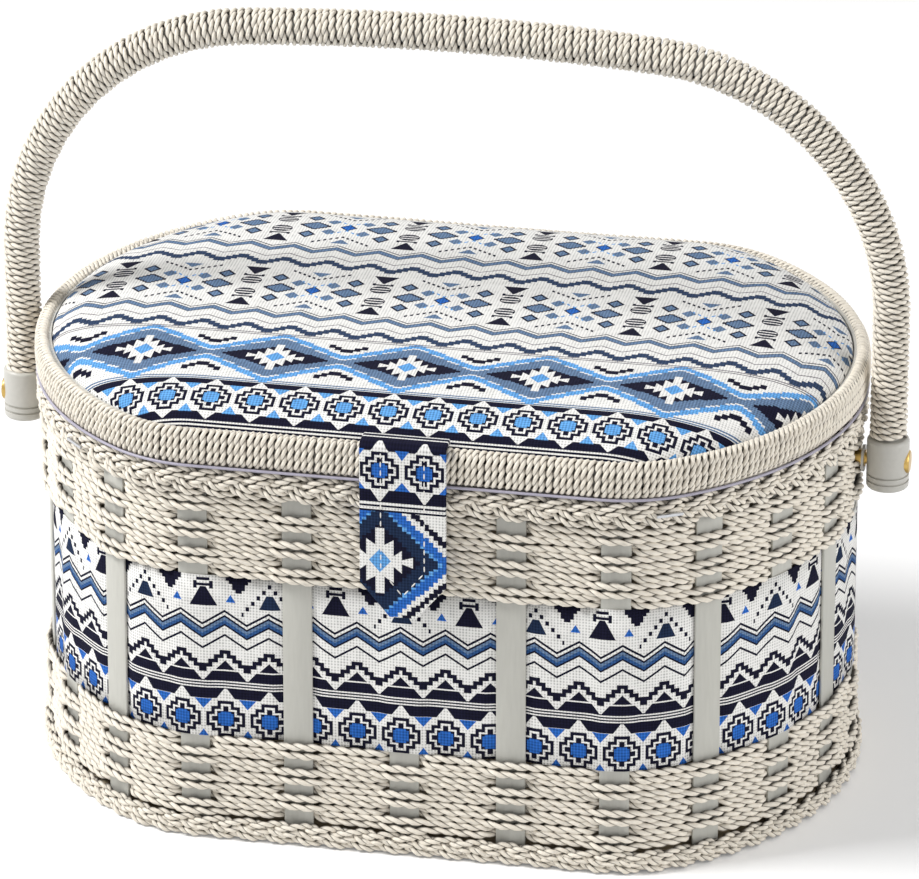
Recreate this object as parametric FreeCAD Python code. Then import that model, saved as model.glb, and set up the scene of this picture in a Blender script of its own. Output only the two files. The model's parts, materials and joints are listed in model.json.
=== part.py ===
"""Oval woven sewing box with a padded hinged lid, a wound carrying handle, a closing tab and a lift-out tray."""
import FreeCAD, Part
import math
import os

V = FreeCAD.Vector
UP = V(0, 0, 1)

# Driving dimensions in millimetres. An inset is measured inwards from the outside of the weave.
# Plan of the basket at the outside of its weave
body_half_length = 141.0
body_half_depth = 97.0
corner_radius_share = 0.4845
end_radius_share = 1.1134

# Weave: flat upright ribs, rows of twisted cord and a canvas band that pass them in turn
rib_pairs = 12
rib_width = 10.0
rib_thickness = 1.0
rib_end_gap = 2.0
weave_shift = 3.0
rib_spread = 5.5
strand_thickness = 2.5
strand_overlap = 1.2
row_height = 4.7
row_gap = 0.1
rows_per_band = 6
canvas_height = 59.4
canvas_thickness = 0.8
weave_clearance = 0.1

# Braids at the foot and the mouth
bottom_braid_height = 8.5
top_braid_height = 11.0
bottom_braid_proud = 1.5
top_braid_proud = 1.2
braid_rounding = 1.6
braid_back_gap = 0.4

# Boards and lining behind the weave
base_height = 1.5
base_thickness = 4.0
wall_gap = 0.3
wall_thickness = 2.0
wall_top_gap = 1.0
lining_thickness = 0.7
hoop_height = 9.0
staple_count = 4
staple_first_rib_share = 2.5
staple_length = 9.0
staple_wire = 0.9

# Lid
lid_gap = 0.4
rim_height = 13.5
rim_proud = 1.5
rim_thickness = 6.0
rim_rounding = 2.4
rim_core_height = 9.5
rim_core_thickness = 2.4
lid_fit = 0.1
lid_lining_lift = 0.4
lid_lining_thickness = 1.3
lid_board_thickness = 3.0
cover_thickness = 0.7
pad_side_height = 5.6
pad_crown = 11.0
pad_inset_shares = (0.0, 0.04, 0.13, 0.32, 0.62, 0.9)
pad_height_shares = (0.0, 0.27, 0.5, 0.75, 0.94, 1.0)
pincushion_radius = 24.0
pincushion_height = 10.0
pincushion_edge = 3.0
pincushion_margin = 26.5
pocket_length = 150.0
pocket_depth = 62.0
pocket_thickness = 1.6
pocket_margin = 23.5
pocket_rounding = 8.0

# Butt hinges at the back
hinge_rib_share = 1.56
hinge_width = 18.0
hinge_leaf_height = 11.0
hinge_leaf_thickness = 0.8
knuckle_radius = 2.2
knuckle_gap = 0.3
hinge_pin_radius = 1.1
hinge_pin_clearance = 0.03
hinge_pin_head = 0.8
hinge_screw_radius = 1.0
hinge_screw_length = 6.5
hinge_screw_head_radius = 1.9
hinge_screw_head_height = 0.9
hinge_screw_spread = 5.2

# Carrying handle
handle_side_gap = 0.6
handle_height = 142.0
handle_bend_radius = 86.0
handle_crown_radius = 900.0
handle_core_radius = 4.0
handle_wrap_radius = 6.6
handle_wrap_valley = 0.5
handle_wrap_turns = 176
cap_radius = 7.2
cap_below_pivot = 9.5
cap_above_pivot = 8.5
cap_core_depth = 4.5
cap_rounding = 1.2
cap_groove_depth = 0.5
cap_groove_width = 0.8
cap_groove_heights = (2.6, 4.8)
pivot_row_count = 4
pivot_screw_radius = 1.9
pivot_clearance = 0.05
pivot_head_radius = 4.0
pivot_head_height = 1.6
pivot_head_recess = 1.2
pivot_sleeve_wall = 1.0
pivot_sleeve_gap = 0.3
pivot_washer_radius = 4.6
pivot_washer_thickness = 0.8
pivot_washer_gap = 0.25
pivot_nut_radius = 3.6
pivot_nut_height = 2.5
pivot_nut_gap = 0.1

# Closing tab
tab_offset = 4.0
tab_width = 29.0
tab_length = 62.0
tab_thickness = 2.0
tab_point_width = 9.0
tab_point_height = 12.0
tab_gap = 0.3
magnet_radius = 7.5
magnet_thickness = 1.0
magnet_above_tip = 17.5
catch_radius = 9.0
catch_thickness = 1.0

# Lift-out tray
ledge_top = 78.0
ledge_height = 4.0
ledge_width = 9.0
tray_height = 28.0
tray_wall = 1.6
tray_side_clearance = 0.7
tray_bay_count = 3
tray_grip_length = 46.0
tray_grip_height = 13.0
tray_grip_below_top = 4.0

# One overrun serves every cut
overrun = 5.0

# Levels
lower_weave_bottom = bottom_braid_height + row_gap
band_height = rows_per_band * (row_height + row_gap)
canvas_bottom = lower_weave_bottom + band_height
upper_weave_bottom = canvas_bottom + canvas_height
top_braid_bottom = upper_weave_bottom + band_height
basket_top = top_braid_bottom + top_braid_height
rim_bottom = basket_top + lid_gap
rim_top = rim_bottom + rim_height
base_top = base_height + base_thickness
pivot_height = upper_weave_bottom + pivot_row_count * (row_height + row_gap)
hinge_height = basket_top + lid_gap / 2

# Washer beside the weave, and the middle of the handle's arms past a gap
pivot_washer_seat = body_half_length + pivot_washer_gap
pivot_washer_face = pivot_washer_seat + pivot_washer_thickness
handle_half_span = pivot_washer_face + handle_side_gap + cap_radius

# Insets of the layers, from the outside of the weave inwards
rib_outer = strand_thickness + weave_clearance
rib_inner = rib_outer + rib_thickness
wall_outer = rib_inner + weave_clearance + strand_thickness + wall_gap
wall_inner = wall_outer + wall_thickness
lining_inner = wall_inner + lining_thickness
braid_inner = rib_outer - braid_back_gap
rim_inner = rim_thickness - rim_proud
tray_outer = lining_inner + pivot_nut_gap + pivot_nut_height + tray_side_clearance
hinge_leaf_back = body_half_depth + rim_proud
hinge_axis_depth = hinge_leaf_back + hinge_leaf_thickness / 2 + knuckle_radius

# Plan outline: two straight runs, four corner arcs and two end arcs, all tangent
corner_radius = body_half_depth * corner_radius_share
end_radius = body_half_depth * end_radius_share
end_centre = body_half_length - end_radius
corner_depth = body_half_depth - corner_radius
straight_half = end_centre + math.sqrt((end_radius - corner_radius) ** 2 - corner_depth ** 2)
corner_turn = math.atan2(straight_half - end_centre, corner_depth)
end_turn = math.pi - 2 * corner_turn
QUARTER = math.pi / 2


def outline_runs():
    """The outline from the front centre, anticlockwise: (length, start, heading, centre, radius, start angle)."""
    corner_run = corner_radius * corner_turn
    end_run = end_radius * end_turn
    front = -QUARTER
    right = front + corner_turn
    back = right + end_turn + corner_turn
    left = back + corner_turn
    return [
        (straight_half, V(0, -body_half_depth), V(1, 0), None, 0, front),
        (corner_run, None, None, V(straight_half, -corner_depth), corner_radius, front),
        (end_run, None, None, V(end_centre, 0), end_radius, right),
        (corner_run, None, None, V(straight_half, corner_depth), corner_radius, right + end_turn),
        (2 * straight_half, V(straight_half, body_half_depth), V(-1, 0), None, 0, back),
        (corner_run, None, None, V(-straight_half, corner_depth), corner_radius, back),
        (end_run, None, None, V(-end_centre, 0), end_radius, left),
        (corner_run, None, None, V(-straight_half, -corner_depth), corner_radius, left + end_turn),
        (straight_half, V(-straight_half, -body_half_depth), V(1, 0), None, 0, front),
    ]


RUNS = outline_runs()
perimeter = sum(run[0] for run in RUNS)
rib_count = 2 * rib_pairs
rib_pitch = perimeter / rib_count
hinge_spread = hinge_rib_share * rib_pitch


def rib_distance(k):
    """Distance of a rib from the front centre: ribs stand wider apart along the sides than round the ends."""
    return k * rib_pitch + weave_shift + rib_spread * math.sin(4 * math.pi * k / rib_count)


def station(distance):
    """Point on the outline at a distance from the front centre, with its outward and forward directions."""
    rest = distance % perimeter
    for length, start, heading, centre, radius, angle in RUNS:
        if rest <= length:
            break
        rest -= length
    if centre is None:
        point = start + heading * rest
    else:
        angle += rest / radius
        point = centre + V(math.cos(angle), math.sin(angle)) * radius
    outward = V(math.cos(angle), math.sin(angle))
    return point, outward, V(-outward.y, outward.x)


def outline(inset, height):
    """Closed wire of the plan outline at an inset and a height."""
    corner = corner_radius - inset
    end = end_radius - inset
    depth = body_half_depth - inset

    def arc(x, y, radius, middle, turn):
        angles = (middle - turn / 2, middle, middle + turn / 2)
        points = [V(x + radius * math.cos(a), y + radius * math.sin(a), height) for a in angles]
        return Part.Arc(*points).toShape()

    def straight(x0, x1, y):
        return Part.LineSegment(V(x0, y, height), V(x1, y, height)).toShape()

    corner_middle = (corner_turn + end_turn) / 2
    return Part.Wire([
        straight(-straight_half, straight_half, -depth),
        arc(straight_half, -corner_depth, corner, -corner_middle, corner_turn),
        arc(end_centre, 0, end, 0, end_turn),
        arc(straight_half, corner_depth, corner, corner_middle, corner_turn),
        straight(straight_half, -straight_half, depth),
        arc(-straight_half, corner_depth, corner, math.pi - corner_middle, corner_turn),
        arc(-end_centre, 0, end, math.pi, end_turn),
        arc(-straight_half, -corner_depth, corner, math.pi + corner_middle, corner_turn),
    ])


def plate(inset, bottom, top):
    """Solid plate of the plan outline."""
    return Part.Face(outline(inset, bottom)).extrude(UP * (top - bottom))


def ring(outer, inner, bottom, top):
    """Upright band between two insets of the plan outline."""
    return plate(outer, bottom, top).cut(plate(inner, bottom - overrun, top + overrun))


def round_outer_edges(shape, inset, heights, radius):
    """Round the level edges of a band that lie at an inset and at the given heights."""
    reach = body_half_depth - inset
    edges = []
    for edge in shape.Edges:
        box = edge.BoundBox
        level = any(abs(box.ZMin - z) + abs(box.ZMax - z) < lid_fit for z in heights)
        middle = edge.valueAt((edge.FirstParameter + edge.LastParameter) / 2)
        outside = Part.Face(outline(inset + lid_fit, middle.z)).distToShape(Part.Vertex(middle))[0] > 0
        if level and outside and abs(middle.y) <= reach + lid_fit:
            edges.append(edge)
    return shape.makeFillet(radius, edges)


def cylinder(radius, start, axis, length):
    """Round bar from a start point along an axis."""
    return Part.makeCylinder(radius, length, start, axis)


def box(x0, x1, y0, y1, z0, z1):
    """Block between two corners."""
    return Part.makeBox(x1 - x0, y1 - y0, z1 - z0, V(x0, y0, z0))


def woven_band(parity, thickness, bottom, height):
    """Band that passes in front of the ribs of one parity and behind the others."""
    half_seat = rib_width / 2 + strand_overlap
    in_front = rib_outer - weave_clearance - thickness / 2
    behind = rib_inner + weave_clearance + thickness / 2
    outer = []
    inner = []
    for k in range(rib_count):
        centre, outward, forward = station(rib_distance(k))
        inset = in_front if k % 2 == parity else behind
        for side in (-half_seat, half_seat):
            outer.append(centre + forward * side - outward * (inset - thickness / 2) + UP * bottom)
            inner.append(centre + forward * side - outward * (inset + thickness / 2) + UP * bottom)
    faces = [Part.Face(Part.makePolygon(points + points[:1])) for points in (outer, inner)]
    solids = [face.extrude(UP * height) for face in faces]
    return solids[0].cut(solids[1])


def rib(k):
    """Flat upright rib at one station of the outline."""
    centre, outward, forward = station(rib_distance(k))
    corners = []
    for side, inset in ((-1, rib_outer), (1, rib_outer), (1, rib_inner), (-1, rib_inner)):
        corners.append(centre + forward * (side * rib_width / 2) - outward * inset + UP * rib_end_gap)
    face = Part.Face(Part.makePolygon(corners + corners[:1]))
    return face.extrude(UP * (basket_top - 2 * rib_end_gap))


def crowned_pad(inset, bottom, edge, crown):
    """Pad with upright sides and a crowned top."""
    reach = corner_radius - inset
    wires = [outline(inset, bottom)]
    for inset_share, height_share in zip(pad_inset_shares, pad_height_shares):
        wires.append(outline(inset + reach * inset_share, edge + crown * height_share))
    return Part.makeLoft(wires, True, True)


def export(name, shape):
    """Write one node."""
    solids = shape.Solids
    if len(solids) == 1:
        shape = solids[0]
    else:
        shape = Part.makeCompound(solids)
    print(name, len(solids), "valid" if shape.isValid() else "NOT VALID", round(shape.Volume, 1))
    shape.exportStep("parts/" + name + ".step")


# Pivot of the handle at one end: screw, sleeve, washer and nut, all on one axis
def pivot_x(inset):
    """Distance from the middle of the basket to an inset at the end."""
    return body_half_length - inset


def pivot_bar(side, radius, near, far):
    """Round bar along the pivot axis between two distances from the middle of the basket."""
    start = V(side * near, 0, pivot_height)
    return cylinder(radius, start, V(side, 0, 0), far - near)


pivot_sleeve_radius = pivot_screw_radius + pivot_sleeve_wall
pivot_hole_radius = pivot_sleeve_radius + pivot_clearance
pivot_cap_face = handle_half_span - cap_radius
pivot_head_seat = handle_half_span + cap_radius - pivot_head_recess
pivot_nut_seat = pivot_x(lining_inner + pivot_nut_gap)
pivot_nut_end = pivot_nut_seat - pivot_nut_height


def pivot_screw(side):
    """Shank from the nut to the seat in the cap, with a domed head."""
    shank = pivot_bar(side, pivot_screw_radius, pivot_nut_end, pivot_head_seat)
    head = pivot_bar(side, pivot_head_radius, pivot_head_seat, pivot_head_seat + pivot_head_height)
    rim = [e for e in head.Edges if abs(abs(e.BoundBox.Center.x) - pivot_head_seat - pivot_head_height) < lid_fit]
    return shank.fuse(head.makeFillet(pivot_head_height / 2, rim)).removeSplitter()


def pivot_sleeve(side):
    """Tube round the shank, from the lining to just short of the cap."""
    tube = pivot_bar(side, pivot_sleeve_radius, pivot_x(lining_inner), pivot_cap_face - pivot_sleeve_gap)
    return tube.cut(pivot_bar(side, pivot_screw_radius, 0, handle_half_span))


def pivot_washer(side):
    """Washer on the outside of the weave."""
    disc = pivot_bar(side, pivot_washer_radius, pivot_washer_seat, pivot_washer_face)
    return disc.cut(pivot_bar(side, pivot_sleeve_radius, 0, handle_half_span))


def pivot_nut(side):
    """Six-sided nut inside the lining."""
    corners = []
    for k in range(6):
        angle = k * math.pi / 3
        y = pivot_nut_radius * math.cos(angle)
        z = pivot_height + pivot_nut_radius * math.sin(angle)
        corners.append(V(side * pivot_nut_end, y, z))
    face = Part.Face(Part.makePolygon(corners + corners[:1]))
    nut = face.extrude(V(side * pivot_nut_height, 0, 0))
    return nut.cut(pivot_bar(side, pivot_screw_radius, 0, handle_half_span))


PIVOT_HOLES = [pivot_bar(side, pivot_hole_radius, 0, body_half_length + overrun) for side in (-1, 1)]


# Butt hinges
def hinge_bar(x0, x1, radius):
    """Round bar on the hinge axis."""
    return cylinder(radius, V(x0, hinge_axis_depth, hinge_height), V(1, 0, 0), x1 - x0)


def hinge_knuckles(x, lid):
    """Spans of the knuckles of one leaf: the middle one on the lid, the outer two on the basket."""
    third = hinge_width / 3
    left = x - hinge_width / 2
    gap = knuckle_gap / 2
    if lid:
        return [(left + third + gap, left + 2 * third - gap)]
    return [(left, left + third - gap), (left + 2 * third + gap, left + hinge_width)]


def hinge_screw_places(x, lid):
    """Two screw places on one leaf."""
    middle = (knuckle_radius + knuckle_gap + hinge_leaf_height) / 2
    z = hinge_height + middle if lid else hinge_height - middle
    return [V(x + side * hinge_screw_spread, hinge_leaf_back, z) for side in (-1, 1)]


def hinge_leaf(x, lid):
    """Leaf with its knuckles, bored for the pin and the screws."""
    back = hinge_leaf_back
    front = hinge_leaf_back + hinge_leaf_thickness
    near = knuckle_radius + knuckle_gap
    z0, z1 = (near, hinge_leaf_height) if lid else (-hinge_leaf_height, -near)
    leaf = box(x - hinge_width / 2, x + hinge_width / 2, back, front, hinge_height + z0, hinge_height + z1)
    t0, t1 = (0, near) if lid else (-near, 0)
    for x0, x1 in hinge_knuckles(x, lid):
        tongue = box(x0, x1, back, front, hinge_height + t0, hinge_height + t1)
        leaf = leaf.fuse(hinge_bar(x0, x1, knuckle_radius)).fuse(tongue)
    bore = hinge_pin_radius + hinge_pin_clearance
    leaf = leaf.cut(hinge_bar(x - hinge_width, x + hinge_width, bore))
    for place in hinge_screw_places(x, lid):
        leaf = leaf.cut(cylinder(hinge_screw_radius, place, V(0, 1, 0), overrun))
    return leaf.removeSplitter()


def hinge_pin(x):
    """Pin with a small head at both ends."""
    x0 = x - hinge_width / 2
    x1 = x + hinge_width / 2
    pin = hinge_bar(x0, x1, hinge_pin_radius)
    head = (hinge_pin_radius + knuckle_radius) / 2
    for start, end in ((x0 - hinge_pin_head, x0), (x1, x1 + hinge_pin_head)):
        pin = pin.fuse(hinge_bar(start, end, head))
    return pin.removeSplitter()


def hinge_screw_shank(place):
    """Shank of a hinge screw, from the face of the leaf into the basket or the lid."""
    start = place + V(0, hinge_leaf_thickness, 0)
    return cylinder(hinge_screw_radius, start, V(0, -1, 0), hinge_screw_length)


def hinge_screw(place):
    """Round-headed wood screw."""
    start = place + V(0, hinge_leaf_thickness, 0)
    head = cylinder(hinge_screw_head_radius, start, V(0, 1, 0), hinge_screw_head_height)
    return hinge_screw_shank(place).fuse(head).removeSplitter()


HINGE_PLACES = (-hinge_spread, hinge_spread)
BODY_SCREWS = [place for x in HINGE_PLACES for place in hinge_screw_places(x, False)]
LID_SCREWS = [place for x in HINGE_PLACES for place in hinge_screw_places(x, True)]


def bored_for_screws(shape, places):
    """Shape with the shanks of the hinge screws cut out of it."""
    for place in places:
        shape = shape.cut(hinge_screw_shank(place))
    return shape


def bored_for_pivots(shape):
    """Shape with both pivot holes cut through it."""
    for hole in PIVOT_HOLES:
        shape = shape.cut(hole)
    return shape


# Basket
def braid(proud, bottom, top):
    """Plaited border, as a plain rounded band in front of the ribs."""
    band = ring(-proud, braid_inner, bottom, top)
    return round_outer_edges(band, -proud, (bottom, top), braid_rounding)


def staples():
    """Flat staple crowns on the top braid, halfway between ribs."""
    crowns = []
    depth = top_braid_bottom + top_braid_height / 2
    for k in range(staple_count):
        distance = rib_distance(k * rib_count / staple_count + staple_first_rib_share)
        centre, outward, forward = station(distance)
        corners = []
        for side, rise in ((-1, 0), (1, 0), (1, 1), (-1, 1)):
            reach = top_braid_proud + rise * staple_wire
            corners.append(centre + forward * (side * staple_length / 2) + outward * reach + UP * depth)
        crowns.append(Part.Face(Part.makePolygon(corners + corners[:1])).extrude(UP * staple_wire))
    return Part.makeCompound(crowns)


def catch_plate_space():
    """Round steel plate let into the wall board behind the tab's magnet."""
    start = V(tab_offset, -body_half_depth + wall_outer, magnet_height)
    return cylinder(catch_radius, start, V(0, 1, 0), catch_thickness)


tab_axis_height = rim_top + tab_gap + tab_thickness / 2
tab_axis_depth = body_half_depth + rim_proud + tab_gap + tab_thickness / 2
tab_tip = tab_axis_height - tab_length
magnet_height = tab_tip + magnet_above_tip


def build_basket():
    """Boards, lining, weave and braids."""
    export("base_board", plate(rib_inner + weave_clearance, base_height, base_top))
    wall_top = basket_top - wall_top_gap
    wall = ring(wall_outer, wall_inner, base_top, wall_top)
    wall = bored_for_pivots(wall).cut(catch_plate_space())
    export("wall_board", wall)
    export("catch_plate", catch_plate_space())
    lining = plate(wall_inner, base_top, wall_top)
    lining = lining.cut(plate(lining_inner, base_top + lining_thickness, wall_top + overrun))
    export("lining", bored_for_pivots(lining))
    hoop_inner = rib_inner + weave_clearance + strand_thickness
    hoop = ring(rib_inner + weave_clearance, hoop_inner, wall_top - hoop_height, wall_top)
    export("top_hoop", bored_for_screws(hoop, BODY_SCREWS))
    canvas_top = upper_weave_bottom - row_gap
    canvas = woven_band(0, canvas_thickness, canvas_bottom, canvas_top - canvas_bottom)
    export("canvas_band", canvas)
    for name, parity in (("under_ribs", 0), ("over_ribs", 1)):
        ribs = [bored_for_pivots(rib(k)) for k in range(rib_count) if k % 2 == parity]
        export(name, Part.makeCompound(ribs))
    for i in range(rows_per_band):
        bottom = lower_weave_bottom + i * (row_height + row_gap)
        export("lower_row_%d" % (i + 1), woven_band((i + rows_per_band) % 2, strand_thickness, bottom, row_height))
    for i in range(rows_per_band):
        bottom = upper_weave_bottom + i * (row_height + row_gap)
        row = woven_band((i + 1) % 2, strand_thickness, bottom, row_height)
        export("upper_row_%d" % (i + 1), bored_for_pivots(row))
    export("bottom_braid", braid(bottom_braid_proud, 0, bottom_braid_height))
    export("top_braid", bored_for_screws(braid(top_braid_proud, top_braid_bottom, basket_top), BODY_SCREWS))
    export("braid_staples", staples())
    export("tray_ledge", ring(lining_inner, lining_inner + ledge_width, ledge_top - ledge_height, ledge_top))


def build_lid():
    """Rim, board, padding, cover, lining and what is sewn inside."""
    core_bottom = rim_bottom + (rim_height - rim_core_height) / 2
    core = ring(rim_inner - rim_core_thickness, rim_inner, core_bottom, core_bottom + rim_core_height)
    wrap = ring(-rim_proud, rim_inner, rim_bottom, rim_top)
    wrap = round_outer_edges(wrap, -rim_proud, (rim_bottom, rim_top), rim_rounding).cut(core)
    export("lid_rim_core", bored_for_screws(core, LID_SCREWS))
    export("lid_rim_wrap", bored_for_screws(wrap, LID_SCREWS))
    lining_bottom = rim_bottom + lid_lining_lift
    board_bottom = lining_bottom + lid_lining_thickness
    board_top = board_bottom + lid_board_thickness
    inset = rim_inner + lid_fit
    export("lid_lining", plate(inset, lining_bottom, board_bottom))
    export("lid_board", plate(inset, board_bottom, board_top))
    edge = board_top + pad_side_height
    cover_space = crowned_pad(inset, board_top, edge, pad_crown)
    pad = crowned_pad(inset + cover_thickness, board_top, edge, pad_crown - cover_thickness)
    export("lid_padding", pad)
    export("lid_cover", cover_space.cut(pad))
    crown = pincushion_height - pincushion_edge
    crown_radius = (pincushion_radius ** 2 + crown ** 2) / (2 * crown)
    half_turn = math.asin(pincushion_radius / crown_radius) / 2
    sewn_edge = V(pincushion_radius - pincushion_edge, 0, 0)
    widest = V(pincushion_radius, 0, -pincushion_edge)
    shoulder = V(crown_radius * math.sin(half_turn), 0,
                 crown_radius * (1 - math.cos(half_turn)) - pincushion_height)
    pole = V(0, 0, -pincushion_height)
    cushion_wire = Part.Wire([
        Part.LineSegment(V(0, 0, 0), sewn_edge).toShape(),
        Part.LineSegment(sewn_edge, widest).toShape(),
        Part.Arc(widest, shoulder, pole).toShape(),
        Part.LineSegment(pole, V(0, 0, 0)).toShape(),
    ])
    cushion = Part.Face(cushion_wire).revolve(V(0, 0, 0), UP, 360)
    lid_depth = body_half_depth - inset
    cushion.translate(V(0, pincushion_margin + pincushion_radius - lid_depth, lining_bottom))
    export("pincushion", cushion)
    pocket_back = lid_depth - pocket_margin
    pocket = box(-pocket_length / 2, pocket_length / 2, pocket_back - pocket_depth, pocket_back,
                 lining_bottom - pocket_thickness, lining_bottom)
    upright = [e for e in pocket.Edges if e.BoundBox.ZLength > pocket_thickness / 2]
    export("lid_pocket", pocket.makeFillet(pocket_rounding, upright))
    fold = tab_axis_depth - tab_thickness / 2 - tab_gap
    anchor_back = body_half_depth - rim_inner
    anchor = box(tab_offset - tab_width / 2, tab_offset + tab_width / 2, -fold, -anchor_back,
                 rim_top, rim_top + tab_thickness)
    export("tab_anchor", anchor)


def build_hinges():
    """Two butt hinges with their pins and screws."""
    for name, x in zip(("left", "right"), HINGE_PLACES):
        export("hinge_body_leaf_" + name, hinge_leaf(x, False))
        export("hinge_lid_leaf_" + name, hinge_leaf(x, True))
        export("hinge_pin_" + name, hinge_pin(x))
    export("hinge_screws_body", Part.makeCompound([hinge_screw(place) for place in BODY_SCREWS]))
    export("hinge_screws_lid", Part.makeCompound([hinge_screw(place) for place in LID_SCREWS]))


# Handle arch: upright arms, two bends and a slightly crowned top, in the plane y = 0
handle_bend_x = handle_half_span - handle_bend_radius
handle_crown_z = pivot_height + handle_height - handle_crown_radius
handle_bend_z = handle_crown_z + math.sqrt(
    (handle_crown_radius - handle_bend_radius) ** 2 - handle_bend_x ** 2)
handle_bend_turn = math.atan2(handle_bend_z - handle_crown_z, handle_bend_x)
handle_wrap_start = pivot_height + cap_above_pivot
handle_core_start = handle_wrap_start - cap_core_depth
handle_arm = handle_bend_z - handle_wrap_start
handle_bend_run = handle_bend_radius * handle_bend_turn
handle_crown_run = handle_crown_radius * (math.pi - 2 * handle_bend_turn)
handle_length = 2 * (handle_arm + handle_bend_run) + handle_crown_run


def handle_station(distance):
    """Point and direction of the arch's centre line, from the right cap over to the left one."""
    if distance > handle_length / 2:
        point, direction = handle_station(handle_length - distance)
        return V(-point.x, 0, point.z), V(direction.x, 0, -direction.z)
    if distance <= handle_arm:
        return V(handle_half_span, 0, handle_wrap_start + distance), UP
    if distance <= handle_arm + handle_bend_run:
        angle = (distance - handle_arm) / handle_bend_radius
        centre = V(handle_bend_x, 0, handle_bend_z)
        radius = handle_bend_radius
    else:
        angle = handle_bend_turn + (distance - handle_arm - handle_bend_run) / handle_crown_radius
        centre = V(0, 0, handle_crown_z)
        radius = handle_crown_radius
    outward = V(math.cos(angle), 0, math.sin(angle))
    return centre + outward * radius, V(-outward.z, 0, outward.x)


def handle_wire(start):
    """Centre line as straight arms and tangent arcs, from a height on the right arm to the same on the left."""
    def at(distance):
        return handle_station(distance)[0]
    bend_end = handle_arm + handle_bend_run
    bend_middle = handle_arm + handle_bend_run / 2
    back = handle_length
    right = V(handle_half_span, 0, start)
    left = V(-handle_half_span, 0, start)
    return Part.Wire([
        Part.LineSegment(right, at(handle_arm)).toShape(),
        Part.Arc(at(handle_arm), at(bend_middle), at(bend_end)).toShape(),
        Part.Arc(at(bend_end), at(back / 2), at(back - bend_end)).toShape(),
        Part.Arc(at(back - bend_end), at(back - bend_middle), at(back - handle_arm)).toShape(),
        Part.LineSegment(at(back - handle_arm), left).toShape(),
    ])


def circle_across(point, direction, radius):
    """Circle square to the arch, with its seam always on the same side."""
    turn = FreeCAD.Rotation(V(0, 1, 0), direction.cross(V(0, 1, 0)), direction, "XZY")
    edge = Part.makeCircle(radius)
    edge.Placement = FreeCAD.Placement(point, turn)
    return Part.Wire([edge])


def handle_tube(radius, start):
    """Smooth round tube along the arch."""
    section = circle_across(V(handle_half_span, 0, start), UP, radius)
    return handle_wire(start).makePipeShell([section], True, False)


def wound_handle():
    """Winding of the arch: one rib for each turn of the cord, with the core's bore through it."""
    valley = handle_wrap_radius - handle_wrap_valley
    pitch = handle_length / handle_wrap_turns
    radii = (valley, handle_wrap_radius, handle_wrap_radius, valley)
    rib_shares = (0.0, 0.3, 0.7, 1.0)
    wires = []
    for turn in range(handle_wrap_turns):
        for share, radius in zip(rib_shares, radii):
            if share == 1.0 and turn < handle_wrap_turns - 1:
                continue
            point, direction = handle_station((turn + share) * pitch)
            wires.append(circle_across(point, direction, radius))
    outside = Part.makeLoft(wires, False, True)
    bore = handle_wire(handle_wrap_start).makePipeShell(
        [circle_across(V(handle_half_span, 0, handle_wrap_start), UP, handle_core_radius)], False, False)
    ends = []
    for distance in (0, handle_length):
        point, direction = handle_station(distance)
        disc = Part.Face(circle_across(point, direction, valley))
        ends.append(disc.cut(Part.Face(circle_across(point, direction, handle_core_radius))))
    faces = outside.Faces + bore.Faces + ends[0].Faces + ends[1].Faces
    shell = Part.makeShell(faces)
    shell.sewShape()
    solid = Part.Solid(shell)
    if solid.Volume < 0:
        solid.reverse()
    return solid


def handle_cap(side):
    """Round cap with a socket for the core, a cross bore, a seat for the screw head and two fine grooves."""
    x = side * handle_half_span
    bottom = pivot_height - cap_below_pivot
    height = cap_below_pivot + cap_above_pivot
    cap = cylinder(cap_radius, V(x, 0, bottom), UP, height)
    cap = cap.makeFillet(cap_rounding, [e for e in cap.Edges if e.BoundBox.ZLength < cap_rounding / 2])
    for rise in cap_groove_heights:
        start = V(x, 0, bottom + rise)
        groove = cylinder(cap_radius + overrun, start, UP, cap_groove_width)
        cap = cap.cut(groove.cut(cylinder(cap_radius - cap_groove_depth, start, UP, cap_groove_width)))
    cap = cap.cut(cylinder(handle_core_radius, V(x, 0, handle_core_start), UP, cap_core_depth + overrun))
    bore = pivot_screw_radius + pivot_clearance
    cap = cap.cut(pivot_bar(side, bore, body_half_length, handle_half_span + cap_radius + overrun))
    seat = pivot_bar(side, pivot_head_radius + pivot_clearance, pivot_head_seat, pivot_head_seat + overrun)
    return cap.cut(seat)


def build_handle():
    """Core, winding, caps and pivots."""
    export("handle_core", handle_tube(handle_core_radius, handle_core_start))
    export("handle_wrap", wound_handle())
    for name, side in (("left", -1), ("right", 1)):
        export("handle_cap_" + name, handle_cap(side))
        export("pivot_screw_" + name, pivot_screw(side))
        export("pivot_sleeve_" + name, pivot_sleeve(side))
        export("pivot_washer_" + name, pivot_washer(side))
        export("pivot_nut_" + name, pivot_nut(side))


def build_tab():
    """Closing tab with a rounded fold at its top, a blunt point and a magnet in its back."""
    front = -tab_axis_depth - tab_thickness / 2
    half = tab_width / 2
    point = tab_point_width / 2
    corners = [(-half, tab_axis_height), (-half, tab_tip + tab_point_height), (-point, tab_tip),
               (point, tab_tip), (half, tab_tip + tab_point_height), (half, tab_axis_height)]
    points = [V(tab_offset + x, front, z) for x, z in corners]
    flap = Part.Face(Part.makePolygon(points + points[:1])).extrude(V(0, tab_thickness, 0))
    fold = cylinder(tab_thickness / 2, V(tab_offset - half, -tab_axis_depth, tab_axis_height), V(1, 0, 0), tab_width)
    magnet_back = V(tab_offset, front + tab_thickness, magnet_height)
    magnet = cylinder(magnet_radius, magnet_back, V(0, -1, 0), magnet_thickness)
    export("tab_flap", flap.fuse(fold).removeSplitter().cut(magnet))
    export("tab_magnet", magnet)


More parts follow.
